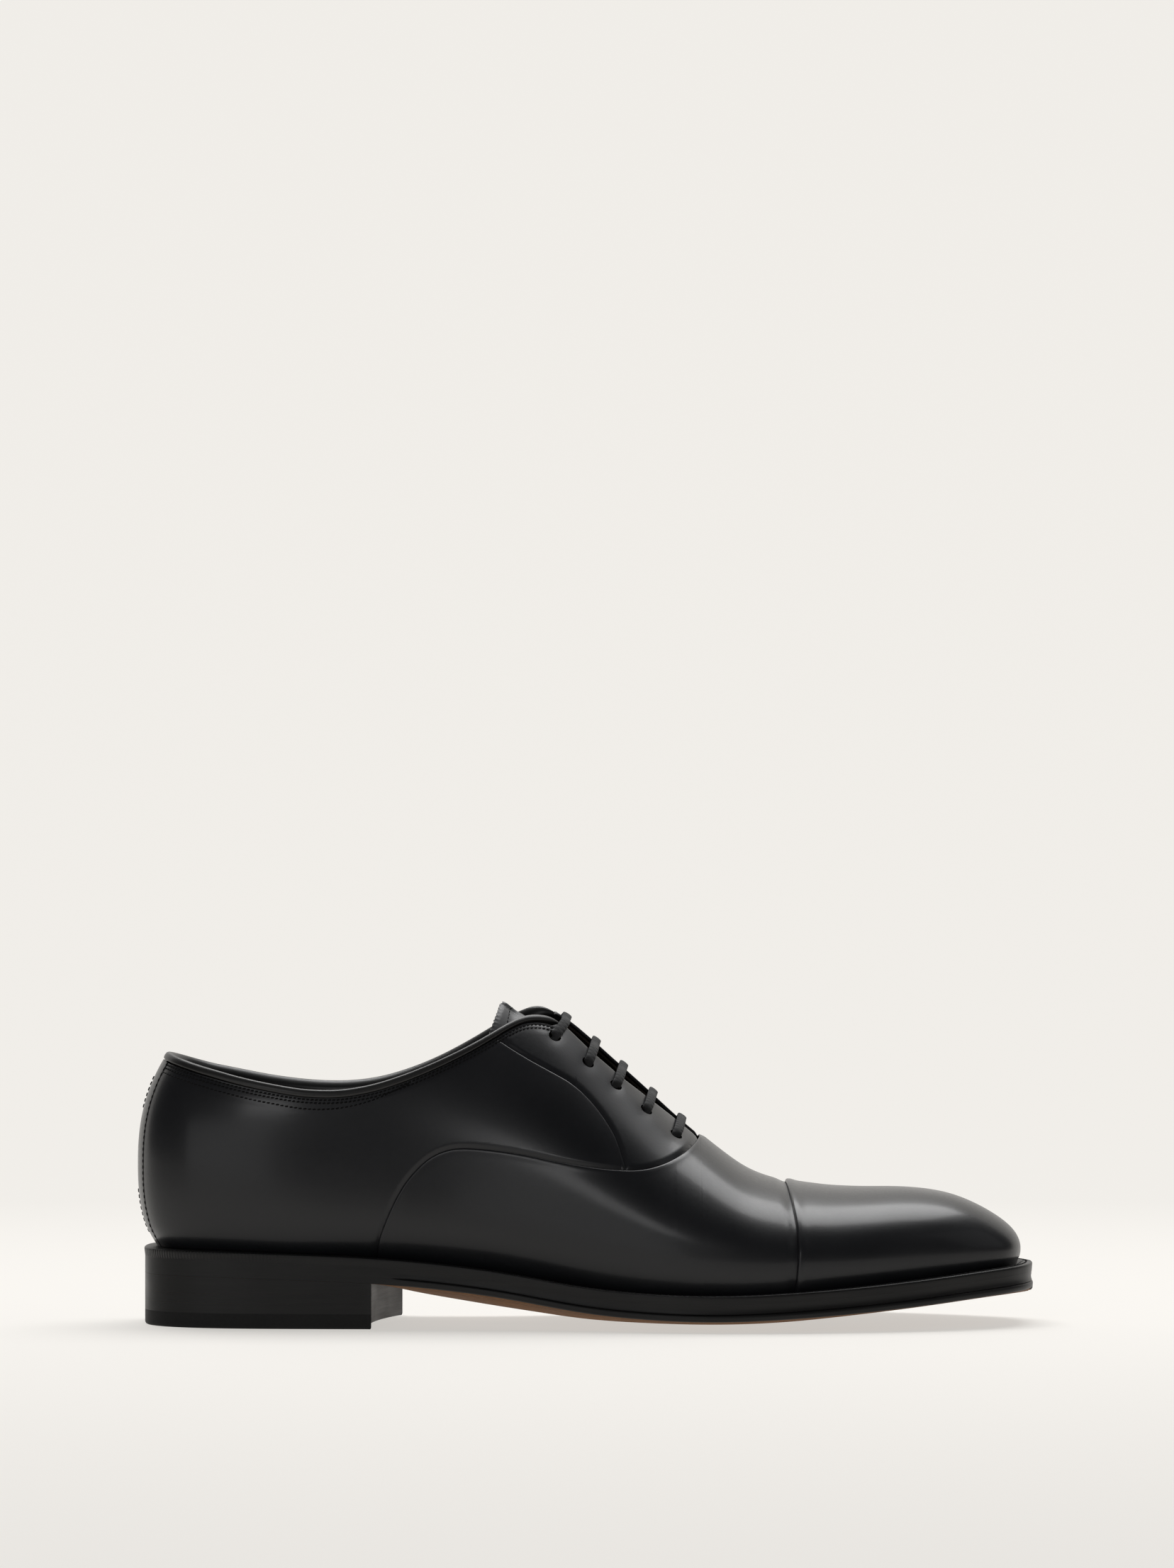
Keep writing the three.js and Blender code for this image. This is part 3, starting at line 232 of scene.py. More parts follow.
def leather(name, dark, light, rough=(0.34, 0.46), grain=1.0, coat=0.25, coat_rough=0.28, wear=0.0, creases=0.0, spec=0.24):
    m, nt, b = tree(name); L = nt.links.new
    co = node(nt, "ShaderNodeTexCoord").outputs["Object"]
    big = node(nt, "ShaderNodeTexNoise", i_Scale=22.0, i_Detail=4.0, i_Roughness=0.55); L(co, big.inputs["Vector"])
    fine_n = node(nt, "ShaderNodeTexNoise", i_Scale=900.0, i_Detail=5.0, i_Roughness=0.6); L(co, fine_n.inputs["Vector"])
    pore = node(nt, "ShaderNodeTexVoronoi", i_Scale=1500.0); L(co, pore.inputs["Vector"])
    L(ramp(nt, big.outputs[0], [(0.3, dark), (0.72, light)]), b.inputs["Base Color"])
    rr = node(nt, "ShaderNodeMapRange", i_1=0.3, i_2=0.7, i_3=rough[0], i_4=rough[1]); L(big.outputs[0], rr.inputs[0])
    r2 = node(nt, "ShaderNodeMapRange", i_1=0.2, i_2=0.8, i_3=-0.04, i_4=0.05); L(fine_n.outputs[0], r2.inputs[0])
    add = node(nt, "ShaderNodeMath", operation="ADD"); L(rr.outputs[0], add.inputs[0]); L(r2.outputs[0], add.inputs[1])
    L(add.outputs[0], b.inputs["Roughness"])
    b1 = node(nt, "ShaderNodeBump", i_Strength=0.10 * grain, i_Distance=0.0002); L(fine_n.outputs[0], b1.inputs["Height"])
    b2 = node(nt, "ShaderNodeBump", i_Strength=0.05 * grain, i_Distance=0.0001); L(pore.outputs[0], b2.inputs["Height"]); L(b1.outputs[0], b2.inputs["Normal"])
    last = b2
    if creases:
        wv = node(nt, "ShaderNodeTexNoise", i_Scale=60.0, i_Detail=2.0); L(co, wv.inputs["Vector"])
        b3 = node(nt, "ShaderNodeBump", i_Strength=creases, i_Distance=0.0006); L(wv.outputs[0], b3.inputs["Height"]); L(last.outputs[0], b3.inputs["Normal"]); last = b3
    L(last.outputs[0], b.inputs["Normal"])
    b.inputs["Coat Weight"].default_value = coat; b.inputs["Coat Roughness"].default_value = coat_rough
    b.inputs["Specular IOR Level"].default_value = spec
    return m


def edge_black(name, dark=(0.0055, 0.0055, 0.0057), light=(0.0085, 0.0084, 0.0083), rough=(0.36, 0.48), line=0.08):
    m, nt, b = tree(name); L = nt.links.new
    co = node(nt, "ShaderNodeTexCoord").outputs["Object"]
    mp = node(nt, "ShaderNodeMapping"); mp.inputs["Scale"].default_value = (40, 40, 900); L(co, mp.inputs["Vector"])
    st = node(nt, "ShaderNodeTexNoise", i_Scale=1.0, i_Detail=5.0, i_Roughness=0.65); L(mp.outputs[0], st.inputs["Vector"])
    big = node(nt, "ShaderNodeTexNoise", i_Scale=60.0, i_Detail=3.0); L(co, big.inputs["Vector"])
    L(ramp(nt, st.outputs[0], [(0.3, dark), (0.7, light)]), b.inputs["Base Color"])
    rr = node(nt, "ShaderNodeMapRange", i_1=0.3, i_2=0.7, i_3=rough[0], i_4=rough[1]); L(big.outputs[0], rr.inputs[0]); L(rr.outputs[0], b.inputs["Roughness"])
    bp = node(nt, "ShaderNodeBump", i_Strength=line, i_Distance=0.00012); L(st.outputs[0], bp.inputs["Height"]); L(bp.outputs[0], b.inputs["Normal"])
    b.inputs["Coat Weight"].default_value = 0.04; b.inputs["Coat Roughness"].default_value = 0.35; b.inputs["Specular IOR Level"].default_value = 0.2
    return m


def fibre(name, dark, light, scale=700.0, rough=0.85, bump=0.4, sheen=0.0):
    m, nt, b = tree(name); L = nt.links.new
    co = node(nt, "ShaderNodeTexCoord").outputs["Object"]
    n1 = node(nt, "ShaderNodeTexNoise", i_Scale=scale, i_Detail=6.0, i_Roughness=0.7); L(co, n1.inputs["Vector"])
    n2 = node(nt, "ShaderNodeTexNoise", i_Scale=scale / 18, i_Detail=3.0); L(co, n2.inputs["Vector"])
    mx = node(nt, "ShaderNodeMath", operation="ADD"); L(n1.outputs[0], mx.inputs[0]); L(n2.outputs[0], mx.inputs[1])
    h = node(nt, "ShaderNodeMath", operation="MULTIPLY"); h.inputs[1].default_value = 0.5; L(mx.outputs[0], h.inputs[0])
    L(ramp(nt, h.outputs[0], [(0.36, dark), (0.64, light)]), b.inputs["Base Color"])
    b.inputs["Roughness"].default_value = rough
    bp = node(nt, "ShaderNodeBump", i_Strength=bump, i_Distance=0.0002); L(n1.outputs[0], bp.inputs["Height"]); L(bp.outputs[0], b.inputs["Normal"])
    b.inputs["Sheen Weight"].default_value = sheen; b.inputs["Specular IOR Level"].default_value = 0.15
    return m


def metal(name, dark, light, rough=0.35):
    m, nt, b = tree(name); L = nt.links.new
    co = node(nt, "ShaderNodeTexCoord").outputs["Object"]
    n1 = node(nt, "ShaderNodeTexNoise", i_Scale=400.0, i_Detail=4.0); L(co, n1.inputs["Vector"])
    L(ramp(nt, n1.outputs[0], [(0.35, dark), (0.65, light)]), b.inputs["Base Color"])
    b.inputs["Metallic"].default_value = 1.0; b.inputs["Roughness"].default_value = rough
    bp = node(nt, "ShaderNodeBump", i_Strength=0.15, i_Distance=0.0001); L(n1.outputs[0], bp.inputs["Height"]); L(bp.outputs[0], b.inputs["Normal"])
    return m


def sole_tan(name):
    """Waxed sole leather; the UV map holds the distance along and in from the sole's edge, in cm."""
    m, nt, b = tree(name); L = nt.links.new
    tc = node(nt, "ShaderNodeTexCoord"); co = tc.outputs["Object"]
    n1 = node(nt, "ShaderNodeTexNoise", i_Scale=350.0, i_Detail=6.0, i_Roughness=0.7); L(co, n1.inputs["Vector"])
    n2 = node(nt, "ShaderNodeTexNoise", i_Scale=30.0, i_Detail=4.0); L(co, n2.inputs["Vector"])
    ad = node(nt, "ShaderNodeMath", operation="ADD"); L(n1.outputs[0], ad.inputs[0]); L(n2.outputs[0], ad.inputs[1])
    hf = node(nt, "ShaderNodeMath", operation="MULTIPLY"); hf.inputs[1].default_value = 0.5; L(ad.outputs[0], hf.inputs[0])
    tan = ramp(nt, hf.outputs[0], [(0.32, (0.10, 0.045, 0.017)), (0.5, (0.165, 0.08, 0.033)), (0.7, (0.23, 0.12, 0.055))])
    sep = node(nt, "ShaderNodeSeparateXYZ"); L(tc.outputs["UV"], sep.inputs[0])
    # slanted wheel ticks between two lines near the edge
    sl = node(nt, "ShaderNodeMath", operation="MULTIPLY_ADD"); sl.inputs[1].default_value = 0.9; L(sep.outputs[1], sl.inputs[0]); L(sep.outputs[0], sl.inputs[2])
    fr = node(nt, "ShaderNodeMath", operation="MULTIPLY"); fr.inputs[1].default_value = 2 * PI / 0.16; L(sl.outputs[0], fr.inputs[0])
    sn = node(nt, "ShaderNodeMath", operation="SINE"); L(fr.outputs[0], sn.inputs[0])
    tick = node(nt, "ShaderNodeMapRange", i_1=0.45, i_2=0.95, i_3=0.0, i_4=1.0); L(sn.outputs[0], tick.inputs[0])
    band = ramp(nt, sep.outputs[1], [(0.0, grey(0)), (0.16, grey(0)), (0.19, grey(1)), (0.36, grey(1)), (0.39, grey(0))])
    tk = node(nt, "ShaderNodeMath", operation="MULTIPLY"); L(tick.outputs[0], tk.inputs[0]); L(band, tk.inputs[1])
    groove = ramp(nt, sep.outputs[1], [(0.0, grey(0)), (0.44, grey(0)), (0.47, grey(1)), (0.5, grey(1)), (0.53, grey(0))])
    dark = node(nt, "ShaderNodeMath", operation="MAXIMUM"); L(tk.outputs[0], dark.inputs[0]); L(groove, dark.inputs[1])
    mix = node(nt, "ShaderNodeMix", data_type="RGBA"); L(dark.outputs[0], mix.inputs[0]); L(tan, mix.inputs[6]); mix.inputs[7].default_value = (0.10, 0.052, 0.026, 1)
    rim = ramp(nt, sep.outputs[1], [(0.0, grey(1)), (0.05, grey(1)), (0.10, grey(0)), (1.0, grey(0))])
    mix2 = node(nt, "ShaderNodeMix", data_type="RGBA"); L(rim, mix2.inputs[0]); L(mix.outputs[2], mix2.inputs[6]); mix2.inputs[7].default_value = (0.014, 0.013, 0.012, 1)
    L(mix2.outputs[2], b.inputs["Base Color"])
    rr = node(nt, "ShaderNodeMapRange", i_1=0.3, i_2=0.7, i_3=0.6, i_4=0.8); L(n2.outputs[0], rr.inputs[0]); L(rr.outputs[0], b.inputs["Roughness"]); b.inputs["Specular IOR Level"].default_value = 0.08
    b1 = node(nt, "ShaderNodeBump", i_Strength=0.25, i_Distance=0.0002); L(n1.outputs[0], b1.inputs["Height"])
    b2 = node(nt, "ShaderNodeBump", i_Strength=0.8, i_Distance=0.0003, invert=True); L(dark.outputs[0], b2.inputs["Height"]); L(b1.outputs[0], b2.inputs["Normal"]); L(b2.outputs[0], b.inputs["Normal"])
    return m


def edge_marked(name):
    """Black edge with fine upright wheel marks; the UV map holds distance along and height, in cm."""
    m = edge_black(name); nt = m.node_tree; L = nt.links.new
    b = [n for n in nt.nodes if n.type == "BSDF_PRINCIPLED"][0]
    old = b.inputs["Normal"].links[0].from_socket
    tc = node(nt, "ShaderNodeTexCoord"); sep = node(nt, "ShaderNodeSeparateXYZ"); L(tc.outputs["UV"], sep.inputs[0])
    fr = node(nt, "ShaderNodeMath", operation="MULTIPLY"); fr.inputs[1].default_value = 2 * PI / 0.12; L(sep.outputs[0], fr.inputs[0])
    sn = node(nt, "ShaderNodeMath", operation="SINE"); L(fr.outputs[0], sn.inputs[0])
    L2 = node(nt, "ShaderNodeMath", operation="MULTIPLY"); L(sn.outputs[0], L2.inputs[0]); L(sep.outputs[1], L2.inputs[1])
    bp = node(nt, "ShaderNodeBump", i_Strength=0.6, i_Distance=0.00016); L(L2.outputs[0], bp.inputs["Height"]); L(old, bp.inputs["Normal"]); L(bp.outputs[0], b.inputs["Normal"])
    return m


M = {
    "calf": leather("black_calf", (0.0066, 0.0069, 0.0082), (0.0102, 0.0105, 0.0123), rough=(0.3, 0.4), coat=0.2, coat_rough=0.17),
    "cap": leather("black_calf_cap", (0.0070, 0.0073, 0.0087), (0.0107, 0.011, 0.0128), rough=(0.28, 0.37), grain=0.8, coat=0.2, coat_rough=0.17),
    "binding": leather("black_binding", (0.0085, 0.0083, 0.0082), (0.013, 0.0125, 0.0122), rough=(0.36, 0.46), grain=1.4, coat=0.2),
    "lining": leather("lining_leather", (0.024, 0.018, 0.0145), (0.04, 0.031, 0.025), rough=(0.55, 0.68), grain=1.6, coat=0.0),
    "sock": leather("sock_leather", (0.016, 0.0135, 0.012), (0.026, 0.022, 0.019), rough=(0.5, 0.62), grain=1.8, coat=0.05),
    "suede": fibre("tongue_suede", (0.016, 0.013, 0.011), (0.03, 0.025, 0.021), 1100.0, 0.95, 0.5, 0.25),
    "edge": edge_black("black_edge"),
    "edge_marks": edge_marked("black_edge_wheeled"),
    "breast": edge_black("stacked_lift_edge", (0.03, 0.029, 0.028), (0.075, 0.072, 0.07), (0.45, 0.65), 0.8),
    "sole": sole_tan("tan_sole_leather"),
    "thread": fibre("black_thread", (0.0012, 0.0012, 0.0013), (0.003, 0.003, 0.0032), 2500.0, 0.8, 0.4),
    "lace": fibre("waxed_lace", (0.0065, 0.0067, 0.0072), (0.0165, 0.0167, 0.0177), 1800.0, 0.72, 0.55, 0.1),
    "stiff": fibre("stiffener", (0.42, 0.36, 0.27), (0.62, 0.55, 0.44)),
    "natural": fibre("insole_leather", (0.34, 0.2, 0.1), (0.5, 0.32, 0.18)),
    "cork": fibre("cork", (0.16, 0.085, 0.035), (0.42, 0.27, 0.13), 260.0, 0.95, 0.8),
    "rubber": fibre("heel_rubber", (0.0065, 0.0065, 0.0067), (0.011, 0.011, 0.0112), 900.0, 0.6, 0.2),
    "steel": metal("steel", (0.42, 0.42, 0.44), (0.58, 0.58, 0.6)),
    "brass": metal("eyelet_dark_brass", (0.03, 0.024, 0.014), (0.06, 0.048, 0.028), 0.5),
    "aglet": leather("aglet_film", (0.008, 0.008, 0.0085), (0.014, 0.014, 0.0145), rough=(0.18, 0.25), grain=0.2, coat=0.5, coat_rough=0.1),
}


# ------------------------------------------------------------------ mesh helpers
def make(name, V, F, mat, body="shoe", replaces=(), uv=None, merge=2e-6, sharp=40.0, mats=None, fmat=None):
    me = bpy.data.meshes.new(name)
    me.from_pydata((np.asarray(V, float) * 0.001).tolist(), [], [tuple(int(i) for i in f) for f in F])
    if uv is not None:
        lay = me.uv_layers.new(name="UVMap")
        idx = np.empty(len(me.loops), int); me.loops.foreach_get("vertex_index", idx)
        lay.data.foreach_set("uv", np.asarray(uv, float)[idx].ravel())
    for k in (mats or [mat]):
        me.materials.append(M[k])
    if fmat is not None:
        me.polygons.foreach_set("material_index", np.asarray(fmat, int))
    bm = bmesh.new(); bm.from_mesh(me)
    if merge:
        bmesh.ops.remove_doubles(bm, verts=bm.verts, dist=merge)
    bmesh.ops.dissolve_degenerate(bm, dist=1e-7, edges=bm.edges)
    bmesh.ops.recalc_face_normals(bm, faces=bm.faces)
    for f in bm.faces:
        f.smooth = True
    lim = math.radians(sharp)
    for e in bm.edges:
        if len(e.link_faces) == 2 and e.calc_face_angle(0) > lim:
            e.smooth = False
    bm.to_mesh(me); bm.free()
    o = bpy.data.objects.new(name, me); bpy.context.scene.collection.objects.link(o)
    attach(o, body)
    if replaces:
        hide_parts(*([replaces] if isinstance(replaces, str) else replaces))
    return o


def grid_faces(n, m, base=0, flip=False, ring_i=False, ring_j=False):
    i, j = np.meshgrid(np.arange(n if ring_i else n - 1), np.arange(m if ring_j else m - 1), indexing="ij")
    a = base + i * m + j; b = base + i * m + (j + 1) % m
    c = base + ((i + 1) % n) * m + (j + 1) % m; d = base + ((i + 1) % n) * m + j
    q = np.stack([a, b, c, d], -1).reshape(-1, 4)
    return q[:, ::-1] if flip else q


def thick(outer, inner, walls=(1, 1, 1, 1)):
    """Closed body between two grids; walls: first i, last i, first j, last j."""
    n, m = outer.shape[:2]; V = np.vstack([outer.reshape(-1, 3), inner.reshape(-1, 3)]); N = n * m
    F = [grid_faces(n, m), grid_faces(n, m, N, True)]
    idx = np.arange(N).reshape(n, m)
    for on, line in zip(walls, (idx[0], idx[-1][::-1], idx[:, 0][::-1], idx[:, -1])):
        if on:
            F.append(np.stack([line[:-1], line[:-1] + N, line[1:] + N, line[1:]], -1))
    return V, np.vstack(F)


CL = np.array([0, 0.07, 0.18, 0.33, 0.55, 0.85, 1.25, 1.8, 2.6, 3.7, 5.2])


def rows(L, mid, k0=1.0, k1=1.0, c0=True, c1=True):
    """Positions along a column of length L, close together near the ends."""
    a = CL * k0; b = CL * k1
    a = a * min(1, 0.45 * L / a[-1]); b = b * min(1, 0.45 * L / b[-1])
    if not c0:
        a = np.array([0.0])
    if not c1:
        b = np.array([0.0])
    s = np.concatenate([a, np.linspace(a[-1], L - b[-1], mid + 2)[1:-1], (L - b)[::-1]])
    return s


def wall(side, xs, low, high, mid=22, c0=True, c1=True, kmax=6.0):
    U, W = [], []
    for x in xs:
        u = float(uX(x)); lo = float(v_feather(u)) if low is None else max(float(v_of_z(u, low(x))), float(v_feather(u)))
        hi = max(float(v_of_z(u, high(x))), lo + 1e-4)
        vv = np.linspace(lo, hi, 160); P = surf(u, side, vv); s = np.concatenate([[0], np.cumsum(np.linalg.norm(np.diff(P, axis=0), axis=1))])
        f = lambda g: 1.0 if g is None else min(kmax, math.hypot(1, (g(x + 0.2) - g(x - 0.2)) / 0.4))
        r = rows(s[-1], mid, f(low), f(high), c0, c1)
        W.append(np.interp(r, s, vv)); U.append(np.full(len(r), u))
    return np.array(U), np.array(W)


def spread(a, b, step, *extra):
    """Stations from a to b about a step apart on the surface, with the given ones added."""
    u0, u1 = float(uX(a)), float(uX(b)); P = xU(np.linspace(u0, u1, 400))
    y = np.where(True, SIDE_LAT(np.linspace(u0, u1, 400)), 0)
    s = np.concatenate([[0], np.cumsum(np.hypot(np.diff(P), np.diff(y)))])
    x = np.interp(np.linspace(0, s[-1], max(3, int(s[-1] / step) + 1)), s, P)
    e = np.array([v for v in extra if a < v < b])
    x = np.unique(np.concatenate([x, e]))
    keep = [x[0]]
    for v in x[1:-1]:
        if v - keep[-1] > 0.12:
            keep.append(v)
    return np.array(keep + [x[-1]])


def poly_x(poly, step):
    d = np.concatenate([[0], np.cumsum(np.hypot(*np.diff(poly, axis=0).T))])
    return np.interp(np.arange(0, d[-1], step), d, poly[:, 0])


def fold(d, r):          # rounded edge: extra depth at distance d from a free edge
    q = np.clip(1 - d / r, 0, 1)
    return r * (1 - np.sqrt(np.clip(1 - q * q, 0, 1)))


def xz(U, side, W):
    P = surf(U, side, W)
    return xU(U), P[..., 2]


def capsules(P, T, Nn, length, r, flat=0.75, sink=0.0):
    """Stitches: small rounded bars centred on P, along T, standing on the surface whose normal is Nn."""
    B = np.cross(Nn, T); B /= np.linalg.norm(B, axis=-1, keepdims=True) + 1e-12
    rings = [(-0.5, 0.0), (-0.46, 0.55), (-0.34, 0.9), (0, 1.0), (0.34, 0.9), (0.46, 0.55), (0.5, 0.0)]
    tpl = []
    for a, k in rings:
        for j in range(6):
            w = 2 * PI * j / 6
            tpl.append((a * length, r * k * math.cos(w), r * flat * k * math.sin(w) * 1.0 - sink))
    tpl = np.array(tpl); n = len(tpl)
    V = P[:, None] + T[:, None] * tpl[None, :, 0:1] + B[:, None] * tpl[None, :, 1:2] + Nn[:, None] * tpl[None, :, 2:3]
    one = grid_faces(7, 6, ring_j=True)
    F = (one[None] + (np.arange(len(P)) * n)[:, None, None]).reshape(-1, 4)
    return V.reshape(-1, 3), F


def along(P, Nn, pitch, skip=0.0):
    s = np.concatenate([[0], np.cumsum(np.linalg.norm(np.diff(P, axis=0), axis=1))])
    q = np.arange(skip + pitch / 2, s[-1] - skip, pitch)
    f = lambda A: np.stack([np.interp(q, s, A[:, k]) for k in range(3)], -1)
    p = f(P); n = f(Nn); n /= np.linalg.norm(n, axis=1, keepdims=True)
    e = 0.2; pa = np.stack([np.interp(q + e, s, P[:, k]) - np.interp(q - e, s, P[:, k]) for k in range(3)], -1)
    t = pa / (np.linalg.norm(pa, axis=1, keepdims=True) + 1e-12)
    return p, t, n


def stitches(name, lines, pitch, length, r, slant=0.0, sink=0.05, body="shoe"):
    Vs, Fs, base = [], [], 0
    for P, Nn in lines:
        p, t, n = along(P, Nn, pitch)
        if slant:
            b = np.cross(n, t); t = t * math.cos(slant) + b * math.sin(slant)
        V, F = capsules(p, t, n, length, r, sink=sink)
        Vs.append(V); Fs.append(F + base); base += len(V)
    return make(name, np.vstack(Vs), np.vstack(Fs), "thread", body, merge=0, sharp=80)


# ------------------------------------------------------------------ camera, then the cords
cam = bpy.data.cameras.new("camera"); cam.lens = 135.6; cam.sensor_fit = "AUTO"; cam.sensor_width = 36; cam.shift_y = 0.0602
cam.clip_end = 50
cobj = bpy.data.objects.new("camera", cam); cobj.location = (0.00011, -1.99822, 0.150); cobj.rotation_euler = (PI / 2, 0, 0)
bpy.context.scene.collection.objects.link(cobj); bpy.context.scene.camera = cobj


def hole(side, k):
    x, z = HOLES[side][k]; u = float(uX(x)); v = float(v_of_z(u, z))
    return dict(x=x, z=z, side=side, u=u, v=v, c=surf(u, side, v), n=normal(u, side, v))


CADTOP = {-1: [(-150.6, 91.4)] + TOP_LAT[1:] + [(-0.4, 94.2), (3.5, 90.6), (8.5, 86.3), (12.8, 82.7), (18.9, 78), (23.3, 74.6), (29.3, 69.9), (34.3, 65.8), (37.6, 63)],
          1: TOP_MED + [(-4.2, 101), (0.3, 97.2), (4.2, 93.8), (8.6, 89.8), (13, 85.9), (19.7, 79.9), (23.5, 76.4), (29.1, 71.2), (34.1, 66.8), (37.6, 63.9)]}
at = lambda h, d: h["c"] - h["n"] * d


def crossing(h):
    t = CADTOP[h["side"]]; tx = [p[0] for p in t]; tz = [p[1] for p in t]; k = 0.0
    cx, cz = (0.6, 0.8) if h["x"] < -5 else (0.34, 0.94)
    while k < 20 and h["z"] + k * cz < np.interp(h["x"] + k * cx, tx, tz):
        k += 0.05
    u = float(uX(h["x"] + k * cx)); v = float(v_of_z(u, h["z"] + k * cz))
    return surf(u, h["side"], v) + normal(u, h["side"], v) * LACE_OVER


def bar(a, b):
    ea, eb, qa, qb = crossing(a), crossing(b), at(a, -LACE_OVER), at(b, -LACE_OVER)
    da, db = ea - qa, eb - qb; da /= np.linalg.norm(da); db /= np.linalg.norm(db)
    return [at(a, 0.2), qa + da * 1.5, ea, (ea + eb) / 2, eb, qb + db * 1.5, at(b, 0.2)]


def under(a, b):
    pa, pb = at(a, LACE_UNDER), at(b, LACE_UNDER); d = (pb - pa) / np.linalg.norm(pb - pa)
    return [at(a, 3.3), pa + d * 1.6, (pa + pb) / 2 - a["n"] * 0.3 * -1 * -1, pb - d * 1.6, at(b, 3.3)]


def down(h, k):
    t = np.array([-2.0, 0, -6]); t -= h["n"] * t.dot(h["n"]); t /= np.linalg.norm(t)
    return at(h, LACE_UNDER) + t * k


Lh = [hole(-1, k) for k in range(5)]; Mh = [hole(1, k) for k in range(5)]
ROUTE = np.array([down(Lh[0], 1.8), at(Lh[0], 3.3), *bar(Lh[0], Mh[0]), *under(Mh[0], Mh[1]), *bar(Mh[1], Lh[1]), *under(Lh[1], Lh[2]), *bar(Lh[2], Mh[2]), *under(Mh[2], Mh[3]), *bar(Mh[3], Lh[3]), *under(Lh[3], Lh[4]), *bar(Lh[4], Mh[4]), at(Mh[4], 3.3), down(Mh[4], 1.8)])


def catmull(P, per=24):
    """Centripetal Catmull-Rom through the points."""
    P = np.asarray(P, float); out = []
    ext = np.vstack([2 * P[0] - P[1], P, 2 * P[-1] - P[-2]])
    for i in range(1, len(ext) - 2):
        p0, p1, p2, p3 = ext[i - 1:i + 3]
        t0 = 0; t1 = t0 + np.linalg.norm(p1 - p0) ** 0.5; t2 = t1 + np.linalg.norm(p2 - p1) ** 0.5; t3 = t2 + np.linalg.norm(p3 - p2) ** 0.5
        for t in np.linspace(t1, t2, per, endpoint=False):
            A1 = (t1 - t) / (t1 - t0) * p0 + (t - t0) / (t1 - t0) * p1; A2 = (t2 - t) / (t2 - t1) * p1 + (t - t1) / (t2 - t1) * p2; A3 = (t3 - t) / (t3 - t2) * p2 + (t - t2) / (t3 - t2) * p3
            B1 = (t2 - t) / (t2 - t0) * A1 + (t - t0) / (t2 - t0) * A2; B2 = (t3 - t) / (t3 - t1) * A2 + (t - t1) / (t3 - t1) * A3
            out.append((t2 - t) / (t2 - t1) * B1 + (t - t1) / (t2 - t1) * B2)
    return np.vstack([out, ext[-2][None]])


def resample(P, step):
    s = np.concatenate([[0], np.cumsum(np.linalg.norm(np.diff(P, axis=0), axis=1))])
    n = max(4, int(round(s[-1] / step)) + 1); q = np.linspace(0, s[-1], n)
    return np.stack([np.interp(q, s, P[:, k]) for k in range(3)], -1), s[-1]


def braid(name, P, width, height, hint, replaces, body="shoe", step=0.4, sides=16, taper=0.0):
    """Flat-round braided cord swept along P; hint gives the outward normal at each point."""
    P, L = resample(P, step)
    T = np.gradient(P, axis=0); T /= np.linalg.norm(T, axis=1, keepdims=True) + 1e-12
    Nn = hint(P); Nn -= T * (Nn * T).sum(1)[:, None]; Nn /= np.linalg.norm(Nn, axis=1, keepdims=True) + 1e-12
    for _ in range(6):
        Nn = np.vstack([Nn[:1], (Nn[:-2] + 2 * Nn[1:-1] + Nn[2:]) / 4, Nn[-1:]]); Nn -= T * (Nn * T).sum(1)[:, None]; Nn /= np.linalg.norm(Nn, axis=1, keepdims=True) + 1e-12
    B = np.cross(T, Nn); s = np.linspace(0, L, len(P))
    a = np.arange(sides) / sides * 2 * PI
    A, Sg = np.meshgrid(a, s)
    pat = np.maximum(np.sin(Sg * 2 * PI / 2.1 + 2 * A), np.sin(Sg * 2 * PI / 2.1 - 2 * A + PI))
    r = (np.abs(np.cos(A)) ** 2.7 + np.abs(np.sin(A)) ** 2.7) ** (-1 / 2.7) * (1 + 0.085 * pat - 0.02)
    V = P[:, None] + B[:, None] * (width / 2 * np.cos(A) * r)[..., None] + Nn[:, None] * (height / 2 * np.sin(A) * r)[..., None]
    n, m = V.shape[:2]; V = np.vstack([V.reshape(-1, 3), P[:1] , P[-1:]])
    F = [tuple(q) for q in grid_faces(n, m, ring_j=True)]
    F += [(n * m, (j + 1) % m, j) for j in range(m)] + [(n * m + 1, (n - 1) * m + j, (n - 1) * m + (j + 1) % m) for j in range(m)]
    o = make(name, V, F, "lace", body, replaces, merge=0, sharp=70)
    return o, P


def near_normal(P):
    """Outward direction of the instep at a point, for laying the lace flat."""
    out = np.empty_like(P)
    allh = Lh + Mh; C = np.array([h["c"] for h in allh]); Nh = np.array([h["n"] for h in allh])
    for i, p in enumerate(P):
        w = 1 / (((C - p) ** 2).sum(1) + 2) ** 3
        out[i] = (Nh * w[:, None]).sum(0)
    return out / (np.linalg.norm(out, axis=1, keepdims=True) + 1e-12)


